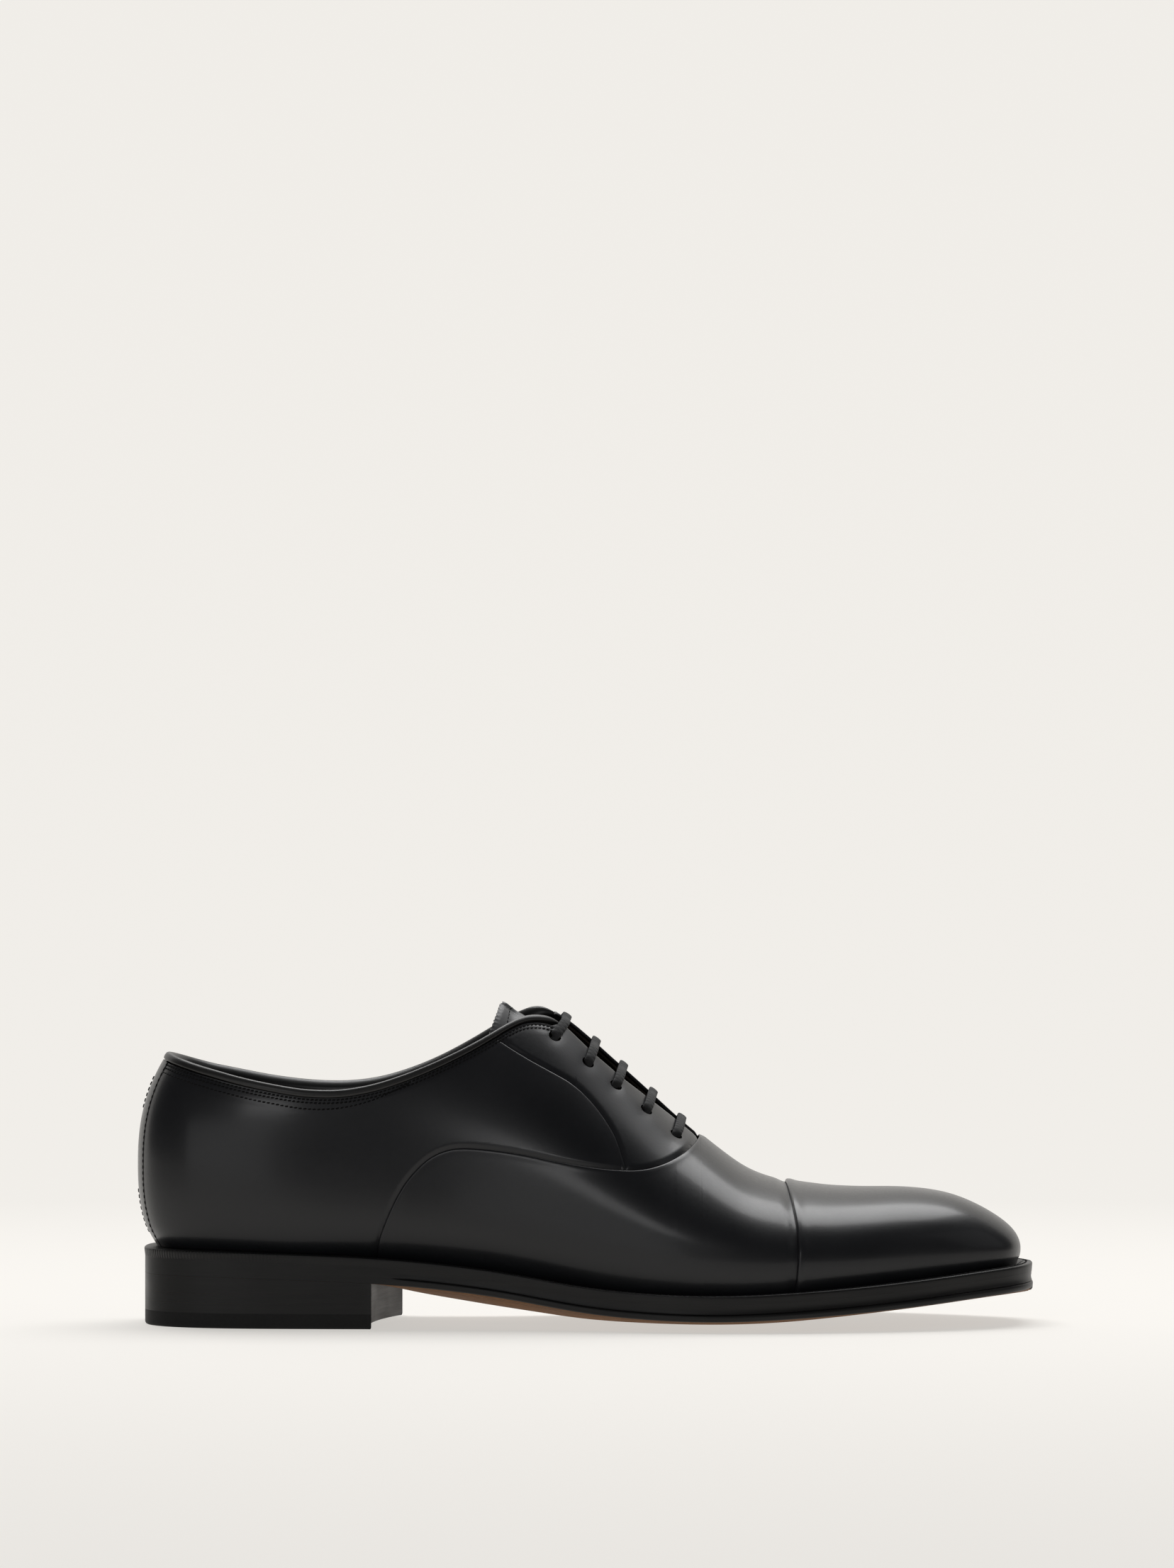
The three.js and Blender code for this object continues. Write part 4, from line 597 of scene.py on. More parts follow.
TAILS = {
    "lateral": (Lh[0], -1, [(-16, 84, 5.8), (-22, 68, 6.0), (-29, 52, 6.2), (-38, 38, 6.6)], [(-50, -17.5), (-64, -16), (-82, -17.5), (-101, -16), (-118, -13), (-130, -8.5), (-133.5, -2.5), (-128, 0.8), (-112, -1.8), (-94, -4), (-76, -3), (-58, -4), (-40, -5)]),
    "medial": (Mh[4], 1, [(25, 54, 6.2), (18, 44, 6.6), (8, 34, 7.2)], [(-6, 19), (-20, 15.5), (-38, 13.5), (-56, 14.5), (-74, 17), (-92, 17.5), (-108, 16.5), (-118, 12), (-116, 7.2), (-104, 6.2), (-88, 7.4), (-70, 5.6), (-50, 4.6), (-30, 5.6)]),
}
for nm, (h, side, drop, lay) in TAILS.items():
    pts = [down(h, 2.6), down(h, 6)]
    for x, z, d in drop:
        u = float(uX(x)); v = float(v_of_z(u, z)); pts.append(surf(u, side, v) - normal(u, side, v) * d)
    for x, y in lay:
        pts.append(np.array([x - 0.25, y + 0.13, float(base(x, y - 1.65)) + SOCK + LACE_R + 0.25]))
    P = catmull(pts, 24); s = np.concatenate([[0], np.cumsum(np.linalg.norm(np.diff(P, axis=0), axis=1))])
    want = TAIL - 22; q = np.linspace(0, want, 400); P = np.stack([np.interp(q, s, P[:, k]) for k in range(3)], -1)
    up_hint = lambda p: np.tile([0.0, 0.25, 1.0], (len(p), 1))
    o, line = braid("lace_end_" + nm + "_braid", P, 2.3, 1.9, up_hint, ["lace_end_" + nm], step=0.6, sides=12)
    t = P[-1] - P[-3]; t[2] = 0; t /= np.linalg.norm(t)
    c0 = P[-1] + t * 0.4; a = np.linspace(0, 21, 22)
    rr = 1.12 + 0.05 * (np.sin(a * 2.2) > 0.7) - 0.35 * np.exp(-((a - 21) / 0.5) ** 2) - 0.25 * np.exp(-(a / 0.5) ** 2)
    side_v = np.cross(t, [0, 0, 1.0]); th = np.arange(14) / 14 * 2 * PI
    ring = (c0[None, None] + t * a[:, None, None] + side_v * (rr[:, None, None] * np.cos(th)[None, :, None]) + np.array([0, 0, 1.0]) * (rr[:, None, None] * np.sin(th)[None, :, None] + 0.2))
    V = np.vstack([ring.reshape(-1, 3), ring[0].mean(0)[None], ring[-1].mean(0)[None]]); n, m = ring.shape[:2]
    F = [tuple(q) for q in grid_faces(n, m, ring_j=True)] + [(n * m, (j + 1) % m, j) for j in range(m)] + [(n * m + 1, (n - 1) * m + j, (n - 1) * m + (j + 1) % m) for j in range(m)]
    ag = make("aglet_" + nm + "_tube", V, F, "aglet", replaces=["aglet_" + nm], merge=0)

braid("lace_braid", catmull(ROUTE, 24), 3.2, 1.2, near_normal, ["lace"], step=0.35, sides=18)


# ------------------------------------------------------------------ upper
STRIP_X = -148.0
for side, nm in ((-1, "lateral"), (1, "medial")):
    top = TOPS[side]
    # quarter: passes under the vamp and lies over the facing
    xs = spread(STRIP_X + 0.1, 14.2, 1.5, *poly_x(SEAM[SEAM[:, 0] < -40], 0.7), *poly_x(FACE, 0.5))
    qtop = lambda x: (top(x) - 2.75) if x < -30 else float(face_z(x))
    qlow = lambda x: float(EDGE_Z(x)) + 0.08 if x <= -64.1 else max(min(float(seam_z(x - 5.5)), float(seam_z(x))) - 5.5, float(EDGE_Z(x)) + 0.08)
    qh = lambda x: max(qtop(x), qlow(x) + 0.05)
    U, W = wall(side, xs, qlow, qh, 58, c0=False, kmax=2.2)
    x, z = xz(U, side, W)
    dv = dist(SEAM, x, z); below = (z < seam_z(x)) & (x > -69.6)
    dfc = dist(FACE, x, z)
    out = np.where(below, 0.62, 0.5 * (1 - smooth(0.0, 1.7, dv)))
    edge = fold(dfc, 0.5) * smooth(-30.6, -29.4, x)
    tz = np.array([float(top(q)) for q in xs])[:, None]
    for k in (3.25, 4.25):
        out = out + 0.12 * np.exp(-(((tz - z) * 0.97 - k) / 0.45) ** 2)
    out = out + 0.1 * np.exp(-((z - row3_z(x)) / 0.45) ** 2) * (x < -58)
    back = (U - float(uX(STRIP_X))) * 900
    out = out + fold(np.maximum(back, 0), 0.12)
    soft = 0.10 * np.sin(x * 0.09 + z * 0.05) * np.exp(-((z - 60) / 26) ** 2)
    inner = np.maximum(out + 0.12, 1.15 + 0 * out)
    inner = np.where(dfc < 5, np.maximum(out + 0.1, 0.6 + 0.55 * smooth(1.5, 5, dfc)), inner)
    V, F = thick(at_depth(U, side, W, out + edge + soft * 0.35), at_depth(U, side, W, np.maximum(inner, out + edge + 0.1)))
    make("quarter_" + nm + "_leather", V, F, "calf", replaces="quarter_" + nm)

    # facing: lies under the quarter and the vamp, with the lace holes
    xe = -7.2 if side < 0 else -9.6
    xs = spread(-36, 38.3, 1.1, *poly_x(FACE, 0.5))
    ftop = lambda x: float(top(x)) - 2.75 * float(1 - smooth(xe - 5.0, xe + 0.4, x))
    flow = lambda x: max(float(seam_z(x)) - 5.5, float(face_z(x)) - (5.0 + 34 * float(smooth(-22, 6, x)))) if x < 14 else float(seam_z(x)) - 5.5
    U, W = wall(side, xs, flow, ftop, 46, kmax=2.5)
    x, z = xz(U, side, W)
    df = dist(FACE, x, z); dv = dist(SEAM, x, z); under_q = (x < 14.2) & (z < face_z(x)); under_v = z < seam_z(x)
    out = np.where(under_q | under_v, 0.62, 0.5 * (1 - smooth(0, 1.7, np.minimum(df, dv))))
    out = np.where(under_v, 0.72, out)
    tp = np.vstack([TOPP[side][TOPP[side][:, 0] > xe - 0.6]])
    de = dist(tp, x, z) * 1.15
    out = out + fold(de, 0.5) * smooth(xe - 1.4, xe + 0.3, x)
    for hx, hz in HOLES[side]:
        out = out + 0.16 * np.exp(-(((x - hx) ** 2 + (z - hz) ** 2) / 2.7**2))
    tz = np.array([float(top(q)) for q in xs])[:, None]
    for k in (3.25, 4.25):
        out = out + 0.16 * np.exp(-(((tz - z) * 0.97 - k) / 0.35) ** 2) * (x < -10)
    inner = np.maximum(out + 0.12, 1.15)
    V, F = thick(at_depth(U, side, W, out), at_depth(U, side, W, inner))
    fac = make("facing_" + nm + "_leather", V, F, "calf", replaces="facing_" + nm)
    # punch the lace holes
    bm = bmesh.new()
    for k in range(5):
        h = hole(side, k); ax = h["n"]; e1 = np.cross(ax, [1.0, 0, 0]); e1 /= np.linalg.norm(e1); e2 = np.cross(ax, e1)
        ringv = []
        for d in (3.0, -4.0):
            ringv.append([bm.verts.new(tuple((h["c"] - ax * d + e1 * 2.25 * math.cos(t) + e2 * 2.25 * math.sin(t)) * 0.001)) for t in np.arange(20) / 20 * 2 * PI])
        for i in range(20):
            bm.faces.new((ringv[0][i], ringv[0][(i + 1) % 20], ringv[1][(i + 1) % 20], ringv[1][i]))
        bm.faces.new(ringv[0][::-1]); bm.faces.new(ringv[1])
    bmesh.ops.recalc_face_normals(bm, faces=bm.faces)
    cm = bpy.data.meshes.new("cutter"); bm.to_mesh(cm); bm.free()
    co = bpy.data.objects.new("cutter", cm); bpy.context.scene.collection.objects.link(co)
    md = fac.modifiers.new("holes", "BOOLEAN"); md.operation = "DIFFERENCE"; md.object = co; md.solver = "EXACT"
    bpy.context.view_layer.update()
    ev = fac.evaluated_get(bpy.context.evaluated_depsgraph_get()); nm_me = bpy.data.meshes.new_from_object(ev)
    fac.modifiers.clear(); old = fac.data; fac.data = nm_me; bpy.data.meshes.remove(old)
    bpy.data.objects.remove(co); bpy.data.meshes.remove(cm)

    # lining behind quarter and facing
    xs = spread(-100.7, 38.3, 2.6)
    ltop = lambda x: float(top(x)) - (2.9 if x < -8.6 else 0.55 if x > -7.2 else 2.9 - 2.35 * (x + 8.6) / 1.4)
    U, W = wall(side, xs, None, ltop, 24, c0=False)
    x, z = xz(U, side, W); xe = -7.2 if side < 0 else -9.6
    near = (1 - smooth(1.6, 4.2, dist(TOPP[side][TOPP[side][:, 0] > xe - 0.6], x, z))) * smooth(xe - 1, xe + 1.5, x)
    dd = 3.0 - 1.65 * near; di = dd + 0.7
    V, F = thick(at_depth(U, side, W, dd), at_depth(U, side, W, di))
    make("quarter_lining_" + nm + "_skin", V, F, "lining", replaces="quarter_lining_" + nm)
    xs = [q for q in np.linspace(-15, 36.5, 26)]
    U, W = wall(side, xs, lambda x: max(float(face_z(x)) + 3 if x < 13 else float(seam_z(x)) + 2.5, float(top(x)) - 21), lambda x: ltop(x) - 4.4, 8)
    V, F = thick(at_depth(U, side, W, np.full(U.shape, 1.7)), at_depth(U, side, W, np.full(U.shape, 2.3)))
    make("facing_stay_" + nm + "_board", V, F, "stiff", replaces="facing_stay_" + nm)


def girth_grid(xlist, mid, low_gap=0.08, kl=True):
    """Full-girth grid, lateral feather over the ridge to the medial feather; stations may follow v."""
    tt = np.concatenate([np.linspace(0, 0.36, 12)[:-1], np.linspace(0.36, 1, mid)])
    vv = np.where(tt < 0.36, -1 + tt / 0.36, (tt - 0.36) / 0.64)
    vv = np.where(vv > 0, 1 - (1 - vv) ** 1.15, vv)
    U, Sd, W = [], [], []
    for f in xlist:
        xv = f(vv) if callable(f) else np.full(len(vv), f)
        u = uX(xv); w = np.maximum(vv, v_feather(u, low_gap)); w = np.where(vv < 0, vv * -v_feather(u, low_gap), vv)
        U.append(np.concatenate([u, u[::-1][1:]])); W.append(np.concatenate([w, w[::-1][1:]])); Sd.append(np.concatenate([np.full(len(vv), -1), np.full(len(vv) - 1, 1)]))
    return np.array(U), np.array(Sd), np.array(W)


# toe cap, with a folded edge that lies over the vamp
offs = [0, 0.08, 0.2, 0.36, 0.6, 0.9, 1.3, 1.8, 2.5, 3.4, 4.6, 6, 8]
toe_x = [lambda v, k=k: xcap(v) + k for k in offs] + list(spread(80, 140, 1.8)) + list(xU(np.linspace(float(uX(140.8)), 1, 22)))
U, Sd, W = girth_grid(toe_x, 44)
d = xU(U) - xcap(W)
out = fold(d, 0.7) - 0.32 * np.exp(-((d - 1.6) / 1.5) ** 2) - 0.42 * (1 - smooth(2, 16, d))
inner = np.where(d < 6, np.maximum(out + 0.12, 0.42 + 0.7 * smooth(2, 7, d)), 1.15)
V, F = thick(at_depth(U, Sd, W, out), at_depth(U, Sd, W, inner), (1, 0, 1, 1))
make("toe_cap_leather", V, F, "cap", replaces="toe_cap")

# vamp: front band under the cap, wings that lie over the quarters
front_x = list(np.linspace(38.7, 63.5, 17)) + [lambda v, k=k: xcap(v) + k for k in (-4.2, -3.2, -2.3, -1.6, -1.0, -0.5, -0.1, 0.6, 2.5, 4.5)]
U, Sd, W = girth_grid(front_x, 44)
vt = float(v_of_z(uX(38.7), 63.1))
d = xcap(W) - xU(U)
out = np.where(d < 0, 0.66, 0.62 * (1 - smooth(0, 4.2, d)))
ed = np.maximum(xU(U) - 38.7, 0)
out = out + np.where(W > vt, fold(ed, 0.5), 0)
V, F = thick(at_depth(U, Sd, W, out), at_depth(U, Sd, W, np.maximum(out + 0.12, 1.1 + 0 * out)), (1, 1, 1, 1))
vpieces = [(V, F)]
nV = len(V)
for side in (-1, 1):
    xs = spread(-69.5, 38.7, 1.7, *poly_x(SEAM[(SEAM[:, 0] < -40)], 0.7), *poly_x(SEAM[(SEAM[:, 0] > 30)], 0.6))
    U, W = wall(side, xs, None, lambda x: float(seam_z(x)) if x < 38.65 else 63.1, 26, c0=False)
    x, z = xz(U, side, W)
    ds = dist(SEAM, x, z)
    out = fold(ds, 0.42) - 0.05 * np.exp(-((ds - 1.0) / 0.7) ** 2)
    inner = np.maximum(out + 0.12, 0.6 + 0.5 * smooth(2, 6.5, ds))
    V, F = thick(at_depth(U, side, W, out), at_depth(U, side, W, inner), (1, 0, 1, 1))
    vpieces.append((V, F))
bV = 0; Vs, Fs = [], []
for V, F in vpieces:
    Vs.append(V); Fs.append(F + bV); bV += len(V)
make("vamp_leather", np.vstack(Vs), np.vstack(Fs), "calf", replaces="vamp", merge=0)

# vamp lining and toe puff
U, Sd, W = girth_grid(list(spread(38.9, 140, 3.0)) + list(xU(np.linspace(float(uX(141.5)), 1, 14))), 26)
V, F = thick(at_depth(U, Sd, W, np.full(U.shape, 3.0)), at_depth(U, Sd, W, np.full(U.shape, 3.7)), (1, 0, 1, 1))
make("vamp_lining_skin", V, F, "lining", replaces="vamp_lining")
U, Sd, W = girth_grid(list(spread(75, 140, 3.5)) + list(xU(np.linspace(float(uX(141.5)), 1, 12))), 22)
V, F = thick(at_depth(U, Sd, W, np.full(U.shape, 1.6)), at_depth(U, Sd, W, np.full(U.shape, 2.3)), (1, 0, 1, 1))
make("toe_puff_board", V, F, "stiff", replaces="toe_puff")


def round_heel(x_end, low, high, d0, d1, step=2.0, mid=20, c0=False, c1=True, xs=None):
    xs = np.asarray(xs if xs is not None else xU(np.linspace(0, float(uX(x_end)), max(8, int(60 / step)))))
    a, wa = wall(-1, xs[::-1], low, high(-1), mid, c0, c1); b, wb = wall(1, xs[1:], low, high(1), mid, c0, c1)
    U = np.vstack([a, b]); W = np.vstack([wa, wb]); Sd = np.vstack([np.full(a.shape, -1), np.full(b.shape, 1)])
    return U, Sd, W


U, Sd, W = round_heel(-101.1, None, lambda s: (lambda x: float(TOPS[s](x)) - 2.9), 3.0, 3.7, 2.0, 24)
V, F = thick(at_depth(U, Sd, W, np.full(U.shape, 3.0)), at_depth(U, Sd, W, np.full(U.shape, 3.7)))
make("heel_lining_skin", V, F, "lining", replaces="heel_lining")
U, Sd, W = round_heel(-102, None, lambda s: (lambda x: 62 - (x + 150) * 0.16), 1.7, 2.3, 2.5, 12)
V, F = thick(at_depth(U, Sd, W, np.full(U.shape, 1.7)), at_depth(U, Sd, W, np.full(U.shape, 2.3)))
make("heel_counter_board", V, F, "stiff", replaces="heel_counter")
# back strip
xs_b = xU(np.concatenate([np.linspace(0, float(uX(STRIP_X)) - 0.0015, 12), float(uX(STRIP_X)) - np.array([0.001, 0.0006, 0.0003, 0.0])]))
U, Sd, W = round_heel(STRIP_X, None, lambda s: (lambda x: float(TOPS[s](x)) - 2.75), 0, 1, xs=xs_b, mid=30)
db = (float(uX(STRIP_X)) - U) * 900
out = fold(db, 0.22) - 0.12 * smooth(0, 1.2, db)
V, F = thick(at_depth(U, Sd, W, out), at_depth(U, Sd, W, np.full(U.shape, 1.1)))
make("back_strip_leather", V, F, "calf", replaces="back_strip")

# binding: a rolled edge round the top line
prof = [(-2.65, 0.02), (-2.55, 0.3), (-2.2, 0.46), (-1.6, 0.55), (-1.0, 0.52), (-0.45, 0.36), (-0.08, 0.02), (0.08, -0.5), (0.02, -1.1), (-0.25, -1.8), (-0.7, -2.5), (-1.3, -3.1), (-2.0, -3.55), (-2.6, -3.7), (-2.75, -3.2), (-2.7, -2.0), (-2.7, -0.8)]
loop = []
for s, xa in ((-1, -6.6), (1, -9.0)):
    us = np.linspace(float(uX(xa)), 0, 280); pts = []
    for u in us:
        x = float(xU(u)); zt = float(TOPS[s](x)); pts.append((u, s, zt, float(1 - smooth(xa - 7.0, xa, x)) * 0.92 + 0.08))
    loop.append(pts if s < 0 else pts[::-1][1:])
loop = loop[0] + loop[1]
rings = []
for u, s, zt, full_w in loop:
    v = float(v_of_z(u, zt)); n = normal(u, s, v); c = surf(u, s, v)
    cb = surf(u, s, float(v_of_z(u, zt - 2.4))); upv = c - cb; upv /= np.linalg.norm(upv)
    nn = normal(u, s, float(v_of_z(u, zt - 1.2))); nn -= upv * nn.dot(upv); nn /= np.linalg.norm(nn)
    rings.append([c + upv * (b * full_w - 0.5 * (1 - full_w)) + nn * (a * full_w - 0.55 * (1 - full_w)) for b, a in prof])
R = np.array(rings)
for _ in range(4):
    R[1:-1] = (R[:-2] + 2 * R[1:-1] + R[2:]) / 4
n, m = R.shape[:2]
V = np.vstack([R.reshape(-1, 3), R[0].mean(0)[None], R[-1].mean(0)[None]])
F = [tuple(q) for q in grid_faces(n, m, ring_j=True)] + [(n * m, (j + 1) % m, j) for j in range(m)] + [(n * m + 1, (n - 1) * m + j, (n - 1) * m + (j + 1) % m) for j in range(m)]
make("topline_piping", V, F, "binding", replaces="topline_binding", merge=0, sharp=60)


# ------------------------------------------------------------------ tongue
def tongue_grid(depth, x_tip, x_root, w_in, nx=90, ny=61, pink=0.0):
    G = np.zeros((nx, ny, 3))
    tt = np.linspace(0, 1, nx) ** 1.15
    for i, t in enumerate(tt):
        x = x_tip + (x_root - x_tip) * t; u = float(uX(x)); half = 0.60 + 0.18 * (x + 26) / 70 + w_in
        va = np.linspace(half, 0.86, 12)
        A = at_depth(u, -1, va, np.full(12, depth)); B = at_depth(u, 1, va[::-1], np.full(12, depth))
        Q = np.vstack([A, B]); s = np.concatenate([[0], np.cumsum(np.linalg.norm(np.diff(Q, axis=0), axis=1))])
        sp = [Spline(list(zip(s, Q[:, k]))) for k in range(3)]
        q = np.linspace(0, s[-1], ny); G[i] = np.stack([f(q) for f in sp], -1)
        G[i, :, 2] -= 0.7 + 1.3 * float(smooth(-27.5, -20.5, x)) - 1.5 * float(smooth(-8, 15, x))
        if t < 0.2:      # the end is square to the tongue and zigzag cut
            w = (1 - t / 0.2) ** 1.5; drop = (G[i, ny // 2, 2] - G[i, :, 2])
            G[i, :, 0] -= w * drop * 0.42; G[i, :, 2] += w * drop * 0.12
            if pink:
                ph = q / 1.9; G[i, :, 0] -= (1.0 if i == 0 else 0.35 if i == 1 else 0.0) * pink * np.abs((ph % 1) * 2 - 1)
    return G


T0 = tongue_grid(7.2, -26.3, 44, 0.0, pink=0.7); T1 = tongue_grid(8.25, -26.2, 44, 0.0, pink=0.7)
V, F = thick(T0, T1); make("tongue_leather", V, F, "calf", "tongue", "tongue")
T2 = tongue_grid(8.5, -24.9, 42.8, 0.012); T3 = tongue_grid(9.4, -24.9, 42.8, 0.012)
V, F = thick(T2, T3); make("tongue_lining_suede", V, F, "suede", "tongue", "tongue_lining")
row = T0[6]; nrm = np.cross(T0[8] - T0[4], np.gradient(T0[6], axis=0)); nrm *= np.sign(nrm[:, 2:3]); nrm /= np.linalg.norm(nrm, axis=1, keepdims=True)
side_rows = []
for j in (3, -4):
    P = T0[4:70, j]; g1 = np.gradient(T0, axis=0)[4:70, j]; g2 = np.gradient(T0, axis=1)[4:70, j]; nn = np.cross(g1, g2); nn *= np.sign(nn[:, 2:3]); nn /= np.linalg.norm(nn, axis=1, keepdims=True); side_rows.append((P, nn))
stitches("tongue_stitching", [(row[2:-2], nrm[2:-2])] + side_rows, 1.9, 1.45, 0.24, body="tongue")


# ------------------------------------------------------------------ stitching on the upper
def surf_line(pts):
    u = np.array([p[0] for p in pts]); s = np.array([p[1] for p in pts]); v = np.array([p[2] for p in pts]); d = np.array([p[3] for p in pts])
    return at_depth(u, s, v, d), normal(u, s, v)


lines = []
for k in (3.25, 4.25):
    pts = []
    for s, xa in ((-1, -9.5), (1, -12)):
        us = np.linspace(float(uX(xa)), 0, 400); one = [(u, s, float(v_of_z(u, float(TOPS[s](float(xU(u)))) - k / 0.97)), 0.1) for u in us]
        pts += one if s < 0 else one[::-1][1:]
    lines.append(surf_line(pts))
stitches("topline_stitching", lines, 1.45, 1.1, 0.3, slant=0.25, sink=-0.02)
pts = []
for s in (-1, 1):
    us = np.linspace(float(uX(-59)), 0, 300); one = [(u, s, float(v_of_z(u, float(row3_z(float(xU(u)))))), 0.1) for u in us]
    pts += one if s < 0 else one[::-1][1:]
stitches("collar_stitching", [surf_line(pts)], 1.55, 1.15, 0.28, slant=0.2, sink=0.0)
lines = []
for s in (-1, 1):
    u0 = float(uX(STRIP_X)) - 0.0018; vv = np.linspace(-0.9, float(v_of_z(u0, 88)), 200)
    lines.append(surf_line([(u0, s, v, 0.0) for v in vv]))
vv = np.concatenate([np.linspace(-0.85, -0.3, 40)]); lines.append(surf_line([(1e-4, -1, v, -0.3) for v in vv]))
vv = np.linspace(float(v_of_z(0.0, 72)), float(v_of_z(0.0, 84)), 40); lines.append(surf_line([(1e-4, -1, v, -0.3) for v in vv]))
stitches("back_seam_stitching", lines, 2.0, 1.35, 0.34, sink=0.0)


# ------------------------------------------------------------------ sole, welt and heel
def edge_pt(u, side, inset):
    Sx = SOLE_LAT if side < 0 else SOLE_MED; e = 1e-3; ua, ub = max(u - e, 0), min(u + e, 1)
    dx = float(xof(ub, SX0, SX1) - xof(ua, SX0, SX1)); dy = float(Sx(ub) - Sx(ua)); l = math.hypot(dx, dy)
    nx, ny = ((dy / l, -dx / l) if side < 0 else (-dy / l, dx / l))
    if u < 1e-6: nx, ny = -1, 0
    if u > 1 - 1e-6: nx, ny = 1, 0
    return np.array([float(xof(u, SX0, SX1)) - nx * inset, float(Sx(u)) - ny * inset]), np.array([nx, ny])


def outline(n):
    us = (1 - np.cos(np.linspace(0, PI, n))) / 2 * 0.0 + np.linspace(0, 1, n)
    return [(u, -1) for u in us[:-1]] + [(u, 1) for u in us[::-1][:-1]]


LOOP = outline(190)
E0 = np.array([edge_pt(u, s, 0)[0] for u, s in LOOP]); EN = np.array([edge_pt(u, s, 0)[1] for u, s in LOOP])
for _ in range(3):
    EN = (np.roll(EN, 1, 0) + 2 * EN + np.roll(EN, -1, 0)) / 4
EN /= np.linalg.norm(EN, axis=1, keepdims=True)
ARC = np.concatenate([[0], np.cumsum(np.hypot(*np.diff(np.vstack([E0, E0[:1]]), axis=0).T))])
XB = E0[:, 0]; ZB = EDGE_Z(XB)
HEELX = -64.0


def ring_mesh(profile, z_of=lambda x, y: base(x, y)):
    """Loop swept round the sole: profile of (outward, height over the welt's top)."""
    out = []
    for a, h in profile:
        P = E0 + EN * (a(XB)[:, None] if callable(a) else a)
        zz = z_of(E0[:, 0], E0[:, 1]) if True else 0
        if not callable(a) and a < -3:
            zz = z_of(P[:, 0], P[:, 1])
        hh = h(XB) if callable(h) else h
        out.append(np.column_stack([P, zz + hh]))
    return np.stack(out, 1)


def close_ring(R, caps=True):
    n, m = R.shape[:2]
    return R.reshape(-1, 3) + OFF, grid_faces(n, m, ring_i=True, ring_j=True)


# welt: flat top with a bevelled outer corner; its edge is flush with the sole's
wp = [(-13.5, 0.0), (-6, 0.0), (-3, 0.0), (-1.2, 0.0), (-0.7, -0.02), (-0.35, -0.1), (-0.12, -0.26), (-0.02, -0.5), (-0.02, -1.0), (-0.1, -1.8), (-0.2, -2.5), (-0.24, -3.0), (-3, -3.0), (-13.5, -3.0)]
R = ring_mesh(wp); V, F = close_ring(R)
uvs = np.zeros((len(V), 2)); m = len(wp)
heelw = np.clip((-96 - XB) / 40, 0, 1)
uvs[:, 0] = np.repeat(ARC[:-1], m) / 10
uvs[:, 1] = (heelw[:, None] * np.array([1.0 if -2.9 < h < -0.3 and a > -1 else 0.0 for a, h in wp])[None]).ravel()
make("welt_leather", V, F, "edge_marks", replaces="welt", uv=uvs, sharp=50)

# outsole: slightly hollow edge, a thin lip at the bottom, tan underside
lipz = lambda x: -6.2 + 0 * x
ep = [(-0.24, -3.006), (-0.34, -3.6), (-0.42, -4.4), (-0.4, -5.2), (-0.26, -5.8), (-0.16, -6.05), (-0.5, -6.2), (-0.05, -6.4), (0.14, -6.8), (0.2, -7.3), (0.12, -7.9), (-0.15, -8.35), (-0.6, -8.58)]
lip_on = smooth(-68, -58, XB)
ep = [((lambda X_, a=a: (-0.24 - 0.0 * X_) * (1 - lip_on) + a * lip_on), h) if h < -3.1 else (a, h) for a, h in ep]
side_ring = ring_mesh(ep)
n, m = side_ring.shape[:2]
inn = [-1.4, -2.4, -3.6, -5, -7, -9.5, -12.5, -16]
bottoms = []
for a in inn:
    P = E0 + EN * a; bottoms.append(np.column_stack([P, base(P[:, 0], P[:, 1]) - SOLE_BOT]))
half_n = len(LOOP) // 2
full = np.concatenate([side_ring, np.stack(bottoms, 1)], 1)
n, m = full.shape[:2]
V = [full.reshape(-1, 3)]; F = [grid_faces(n, m, ring_i=True)]
uv = np.zeros((n * m, 2)); uv[:, 0] = np.repeat(ARC[:-1], m) / 10
din = np.array([0.0] * len(ep) + [-a for a in inn]); din[len(ep) - 1] = 0.6; uv[:, 1] = np.tile(din, n) / 10
fm = [np.tile(np.array([0 if j < len(ep) - 1 else 1 for j in range(m - 1)]), n)]
# middle of the underside: strips joining the two sides
last = full[:, -1]; A = last[:half_n + 1]; Bm = last[np.r_[0, np.arange(len(LOOP) - 1, half_n - 1, -1)]]
cols = 11; mid = []
for k in range(1, cols):
    t = k / cols; P = A * (1 - t) + Bm * t; mid.append(np.column_stack([P[:, 0], P[:, 1], base(P[:, 0], P[:, 1]) - SOLE_BOT]))
G = np.stack([A] + mid + [Bm], 1); gb = n * m
V.append(G.reshape(-1, 3)); F.append(grid_faces(G.shape[0], G.shape[1], gb)); fm.append(np.ones(len(F[-1]), int))
uv = np.vstack([uv, np.tile([0.0, 2.0], (G.shape[0] * G.shape[1], 1))])
# upper face
gb2 = gb + G.shape[0] * G.shape[1]
top_in = [ring_mesh([(-0.24, -3.006)])[:, 0]] + [np.column_stack([E0 + EN * a, base((E0 + EN * a)[:, 0], (E0 + EN * a)[:, 1]) - SOLE_TOP + 0.05]) for a in (-4, -9, -14)]
Tg = np.stack(top_in, 1); V.append(Tg.reshape(-1, 3)); F.append(grid_faces(n, 4, gb2, True, ring_i=True)); fm.append(np.zeros(len(F[-1]), int)); uv = np.vstack([uv, np.tile([0.0, 2.0], (n * 4, 1))])
gb3 = gb2 + n * 4; last = Tg[:, -1]; A = last[:half_n + 1]; Bm = last[np.r_[0, np.arange(len(LOOP) - 1, half_n - 1, -1)]]
mid = []
for k in range(1, cols):
    t = k / cols; P = A * (1 - t) + Bm * t; mid.append(np.column_stack([P[:, 0], P[:, 1], base(P[:, 0], P[:, 1]) - 3.5]))
